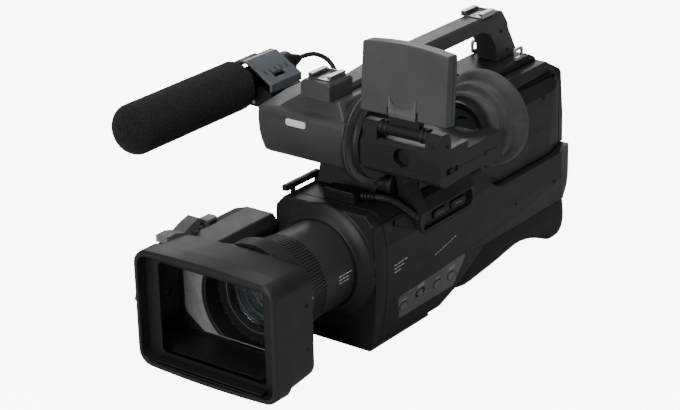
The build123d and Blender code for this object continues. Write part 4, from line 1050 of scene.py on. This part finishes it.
def hinge_bands():
    """Grooved collars on the display's hinge barrel."""
    maker = bmesh.new()
    for x in (HINGE.x - 21, HINGE.x - 16.5, HINGE.x + 16.5, HINGE.x + 21):
        turned(maker, [(x - 1.4, 5.2), (x - 1.2, 6.0), (x - 0.5, 6.3), (x + 0.5, 6.3), (x + 1.2, 6.0),
                       (x + 1.4, 5.2)],
               HINGE, 64, along="X")
    finished("hinge_collars", maker, "lcd_hinge", "dark_plastic")


viewfinder_shoulder()
tilt_collar()
ear_screws()
viewfinder_seam()
lcd_tongue()
lcd_trim()
hinge_bands()


# Body trim
def panel_legends():
    """Generic dashes above the control panel's keys and fine lines on the body and the barrel."""
    maker = bmesh.new()
    panel = surface_of("control_panel")
    for node, count in (("panel_key_front", 2), ("panel_switch", 3), ("panel_key_middle", 2),
                        ("panel_key_rear", 3)):
        low, high = box(node)
        for row in range(1 if count == 2 else 2):
            for k in range(count):
                y = (low.y + high.y) / 2 + (k - (count - 1) / 2) * 3.0
                z = high.z + 2.6 + 1.9 * row + 0.09 * (y - low.y)
                point = panel.ray_cast(Vector((80, y, z)), Vector((-1, 0, 0)))
                if point[0] is not None:
                    bar(maker, pose_at(point[0], point[1]), 1.15, 0.32, 0.08)
    cover = surface_of("left_side_cover")
    for row in range(3):
        for k in range(4 - row):
            pose = landed(cover, (80, -26 + 4.6 * k, 70 - 3.0 * row + 0.3 * k), (-1, 0, 0))
            bar(maker, pose, 1.9, 0.42, 0.08)
    for k in range(9):
        pose = landed(cover, (80, 30 + 3.4 * k, 59 + 0.75 * k), (-1, 0, 0))
        bar(maker, pose, 1.2, 0.4, 0.08)
    radius = box("lens_barrel")[1].x - 5.6
    for row, count in ((0, 4), (1, 3), (2, 3)):
        for k in range(count):
            angle = math.radians(7 - 4.2 * row)
            normal = Vector((math.cos(angle), 0, math.sin(angle)))
            point = Vector((LENS.x, -78 + 4.4 * k, LENS.z)) + normal * radius
            bar(maker, pose_at(point, normal), 1.7, 0.36, 0.08)
    finished("generic_legends", maker, "chassis", "lamp", INK)


def painted_key_gap_shade():
    """Dark rings round the panel's keys: painted shade for the gaps around them."""
    maker = bmesh.new()
    panel = surface_of("control_panel")
    for node in ("panel_key_front", "panel_switch", "panel_key_middle", "panel_key_rear"):
        low, high = box(node)
        # Painted shade: each ring sits a little proud of the panel; the switch's ring runs along its slot.
        grow_y = 2.4 if node == "panel_switch" else 0.35
        y, z = (low.y + high.y) / 2, (low.z + high.z) / 2
        half_y, half_z = (high.y - low.y) / 2 + grow_y, (high.z - low.z) / 2 + 0.35
        steps, rings = 40, []
        base, slope, _, _ = panel.ray_cast(Vector((80, y, z + half_z + 0.8)), Vector((-1, 0, 0)))
        pose = pose_at(base, slope)
        centre = pose.inverted() @ Vector((base.x, y, z))
        for grow, height in ((0.0, -0.2), (0.0, 0.22), (0.55, 0.22), (0.75, -0.1)):
            ring = []
            for k in range(steps):
                angle = 2 * math.pi * (k + 0.5) / steps
                c, s = math.cos(angle), math.sin(angle)
                cap = half_z + grow
                u = math.copysign(max(0.0, half_y - half_z), c) + cap * c
                ring.append(maker.verts.new(pose @ Vector((centre.x + u, centre.y + cap * s, height))))
            rings.append(ring)
        bridged(maker, rings, closed=True)
    finished("painted_key_gap_shade", maker, "chassis", "dark_plastic")


def recess_sill():
    """Two fine ridges under the shoulder keys, and raised dashes on the keys."""
    tree = surface_of("left_side_cover")
    maker = bmesh.new()
    for z in (84.9, 82.9):
        for k in range(22):
            bar(maker, landed(tree, (80, 14 + 3.0 * k, z), (-1, 0, 0)), 1.6, 0.3, 0.3)
    finished("recess_sill", maker, "chassis", "body_plastic")
    for node in ("shoulder_key_front", "shoulder_key_rear"):
        low, high = box(node)
        key = surface_of(node)
        maker = bmesh.new()
        for k in range(3):
            y = (low.y + high.y) / 2 + (k - 1) * 3.2
            bar(maker, landed(key, (80, y, (low.z + high.z) / 2), (-1, 0, 0)), 1.2, 0.4, 0.12)
        finished(node + "_marks", maker, node, "grey_plastic")


def plug_trim():
    """Rounded cover of the lead's plug with three small studs."""
    low, high = box("viewfinder_plug")
    maker = bmesh.new()
    soft_box(maker, (low.x + 2.0, low.y + 1.0, high.z - 1.0), (low.x + 29, low.y + 13.6, high.z - 0.02), 0.4)
    for k in range(3):
        stud(maker, pose_at((low.x + 8 + 7 * k, low.y + 7, high.z - 0.3), (0, 0, 1), (0, 1, 0)), 0.7, 0.3, 12)
    finished("plug_cover", maker, "chassis", "grey_plastic")


def deck_rail():
    """Ribbed pad on the rail's rear half."""
    low, high = box("top_deck")
    maker = bmesh.new()
    for k in range(9):
        y = low.y + 8 + 2.6 * k
        soft_box(maker, (low.x + 5.0 - 1.4, y - 0.8, high.z - 1.4),
                 (low.x + 8.6, y + 0.8, high.z - 0.05), 0.35)
    finished("rail_ribs", maker, "chassis", "rubber")


def shoe_springs():
    """Leaf springs in both accessory shoes and the screws that hold the floors."""
    maker = bmesh.new()
    for mount in frame["record"]["mounts"]:
        if "shoe" not in mount["name"]:
            continue
        x, y, z = (c / MM for c in mount["pos_m"])
        floor_z = z - 0.4
        for side in (-1, 1):
            strip = [(-7.5, 0.0), (-5.0, 1.1), (0.0, 1.7), (5.0, 1.1), (7.5, 0.0)]
            path = smooth_profile(strip, 4)
            rows = [[maker.verts.new((x + side * 7.4 + dx, y + 9 + v, floor_z + 0.35 + h + dz))
                     for dx, dz in ((-0.9, 0), (0.9, 0), (0.9, 0.35), (-0.9, 0.35))] for v, h in path]
            bridged(maker, rows)
            maker.faces.new(rows[0])
            maker.faces.new(rows[-1])
        for dy in (4.5, 14.0):
            screw(maker, pose_at((x, y + dy, floor_z - 0.05), (0, 0, 1), (0, 1, 0)), 1.7)
    finished("shoe_springs", maker, "chassis", "bright_metal")


def cover_screws():
    """Screws in the upper housing and the side covers."""
    maker = bmesh.new()
    upper, right = surface_of("upper_housing"), surface_of("right_side_cover")
    left = surface_of("left_side_cover")
    for tree, start, way in (
            (upper, (90, 112, 108), (-1, 0, 0)), (upper, (90, 205, 140), (-1, 0, 0)),
            (upper, (-90, 112, 108), (1, 0, 0)), (upper, (-90, 205, 140), (1, 0, 0)),
            (right, (-90, 30, 30), (1, 0, 0)), (right, (-90, 150, 60), (1, 0, 0)),
            (right, (-90, 212, 60), (1, 0, 0)), (left, (90, 150, 62), (-1, 0, 0)),
            (left, (90, 212, 62), (-1, 0, 0)), (left, (90, -28, 8), (-1, 0, 0))):
        screw(maker, landed(tree, start, way), 1.9)
    finished("cover_screws", maker, "chassis", "dark_plastic")


def vents():
    """Louvres on the upper housing's right side and a speaker grille on its left."""
    maker = bmesh.new()
    upper = surface_of("upper_housing")
    for row in range(6):
        for k in range(5):
            pose = landed(upper, (-90, 130 + 9 * k, 104 + 4.2 * row), (1, 0, 0))
            bar(maker, pose, 3.6, 0.7, 0.5)
    for row in range(5):
        for k in range(7):
            pose = landed(upper, (90, 128 + 3.4 * k + 1.7 * (row % 2), 118 + 3.2 * row), (-1, 0, 0))
            stud(maker, pose, 0.85, 0.25, 12)
    finished("vents", maker, "chassis", "dark_plastic")


def rear_jacks():
    """Jacks on the rear panel, and the ribs and rails of the battery."""
    maker = bmesh.new()
    rear = surface_of("rear_panel")
    for x, z, radius in ((-30, 100, 3.6), (-30, 112, 3.6), (-30, 124, 3.0), (29, 98, 3.4), (29, 127, 2.6)):
        pose = landed(rear, (x, 290, z), (0, -1, 0))
        socket(maker, pose, radius)
    finished("rear_jacks", maker, "chassis", "dark_plastic")
    low, high = box("battery_pack")
    maker = bmesh.new()
    for k in range(6):
        z = high.z - 9 - 3 * k
        soft_box(maker, (low.x + 7, high.y - 0.5, z - 0.7), (high.x - 7, high.y - 0.02, z + 0.7), 0.2)
    for x in (low.x + 4, high.x - 4):
        soft_box(maker, (x - 1.2, high.y - 3.0, low.z + 10), (x + 1.2, high.y - 0.02, low.z + 34), 0.3)
    finished("battery_ribs", maker, "battery", "grey_plastic")


def cassette_trim():
    """Raised dashes and a ribbed finger ledge on the cassette door."""
    low, high = box("cassette_door")
    tree = surface_of("cassette_door")
    maker = bmesh.new()
    for k in range(14):
        y = low.y + 12 + 6.2 * k
        if y < high.y - 10:
            for z in (high.z - 6, low.z + 10):
                bar(maker, landed(tree, (-90, y, z), (1, 0, 0)), 3.2, 0.45, 0.4)
    for k in range(7):
        start = (-90, (low.y + high.y) / 2 - 9 + 3 * k, high.z - 11)
        bar(maker, landed(tree, start, (1, 0, 0)), 0.8, 2.4, 0.7)
    finished("cassette_door_trim", maker, "cassette_door", "body_plastic")


def mic_details():
    """Latch lip and ribs of the holder's lid, the holder's screw and rings on the cord's boot."""
    low, high = box("mic_holder_lid")
    lid = surface_of("mic_holder_lid")
    maker = bmesh.new()
    soft_box(maker, (high.x - 2.3, low.y + 9, low.z + 0.6), (high.x - 0.05, low.y + 31, low.z + 3.0), 0.5)
    for k in range(5):
        y = low.y + 6 + 6.6 * k
        bar(maker, landed(lid, (-76, y, 260), (0, 0, -1), (0, 1, 0)), 2.2, 0.4, 0.3)
    finished("lid_latch", maker, "mic_lid", "dark_plastic")
    maker = bmesh.new()
    screw(maker, landed(surface_of("mic_holder"), (-84, -90, 182), (0, 1, 0)), 1.6)
    finished("holder_screw", maker, "chassis", "bright_metal")
    low, high = box("mic_tube")
    centre = (JOINT_AT["mic_lid_open"].x + 18, 0, (low.z + high.z) / 2)
    maker = bmesh.new()
    for k in range(5):
        y = 31.5 + 1.7 * k
        r = 6.0 - 0.55 * k
        turned(maker, [(y - 0.5, r - 0.9), (y - 0.4, r - 0.1), (y + 0.4, r - 0.2), (y + 0.5, r - 1.0)],
               centre, 40)
    finished("boot_rings", maker, "chassis", "rubber")


def handle_details():
    """Grip ribs under the handle and screws in its legs and base."""
    low, high = box("top_handle")
    tree = surface_of("top_handle")
    maker = bmesh.new()
    for k in range(22):
        start = ((low.x + high.x) / 2, 62 + 4.6 * k, 190)
        bar(maker, landed(tree, start, (0, 0, 1), (0, 1, 0)), 6.2, 0.9, 0.5)
    finished("handle_grip_ribs", maker, "chassis", "rubber")
    maker = bmesh.new()
    for side in (-1, 1):
        for y, z in ((30, 205), (196, 196), (206, 177)):
            screw(maker, landed(tree, (-4.5 + side * 60, y, z), (-side, 0, 0)), 1.8)
    for y in (150, 222):
        screw(maker, landed(surface_of("handle_base"), (14, y, 190), (0, 0, -1), (0, 1, 0)), 1.7)
    finished("handle_screws", maker, "chassis", "dark_plastic")


def grip_details():
    """Finger ridges on the grip's front and marks round the dial."""
    low, high = box("grip_housing")
    tree = surface_of("grip_housing")
    maker = bmesh.new()
    for k in range(7):
        z = 50 + 5.4 * k
        bar(maker, landed(tree, (-84, low.y - 30, z), (0, 1, 0)), 8.5, 0.8, 0.45)
    finished("grip_ridges", maker, "chassis", "rubber")
    maker = bmesh.new()
    dial = JOINT_AT["mode_turn"]
    for k in range(5):
        angle = math.radians(60 + 30 * k)
        start = (dial.x + 13.2 * math.cos(angle), -10, dial.z + 13.2 * math.sin(angle))
        bar(maker, landed(tree, start, (0, -1, 0)), 0.5, 0.9, 0.1)
    finished("dial_marks", maker, "chassis", "lamp", INK)


panel_legends()
painted_key_gap_shade()
recess_sill()
plug_trim()
deck_rail()
shoe_springs()
cover_screws()
vents()
rear_jacks()
cassette_trim()
mic_details()
handle_details()
grip_details()
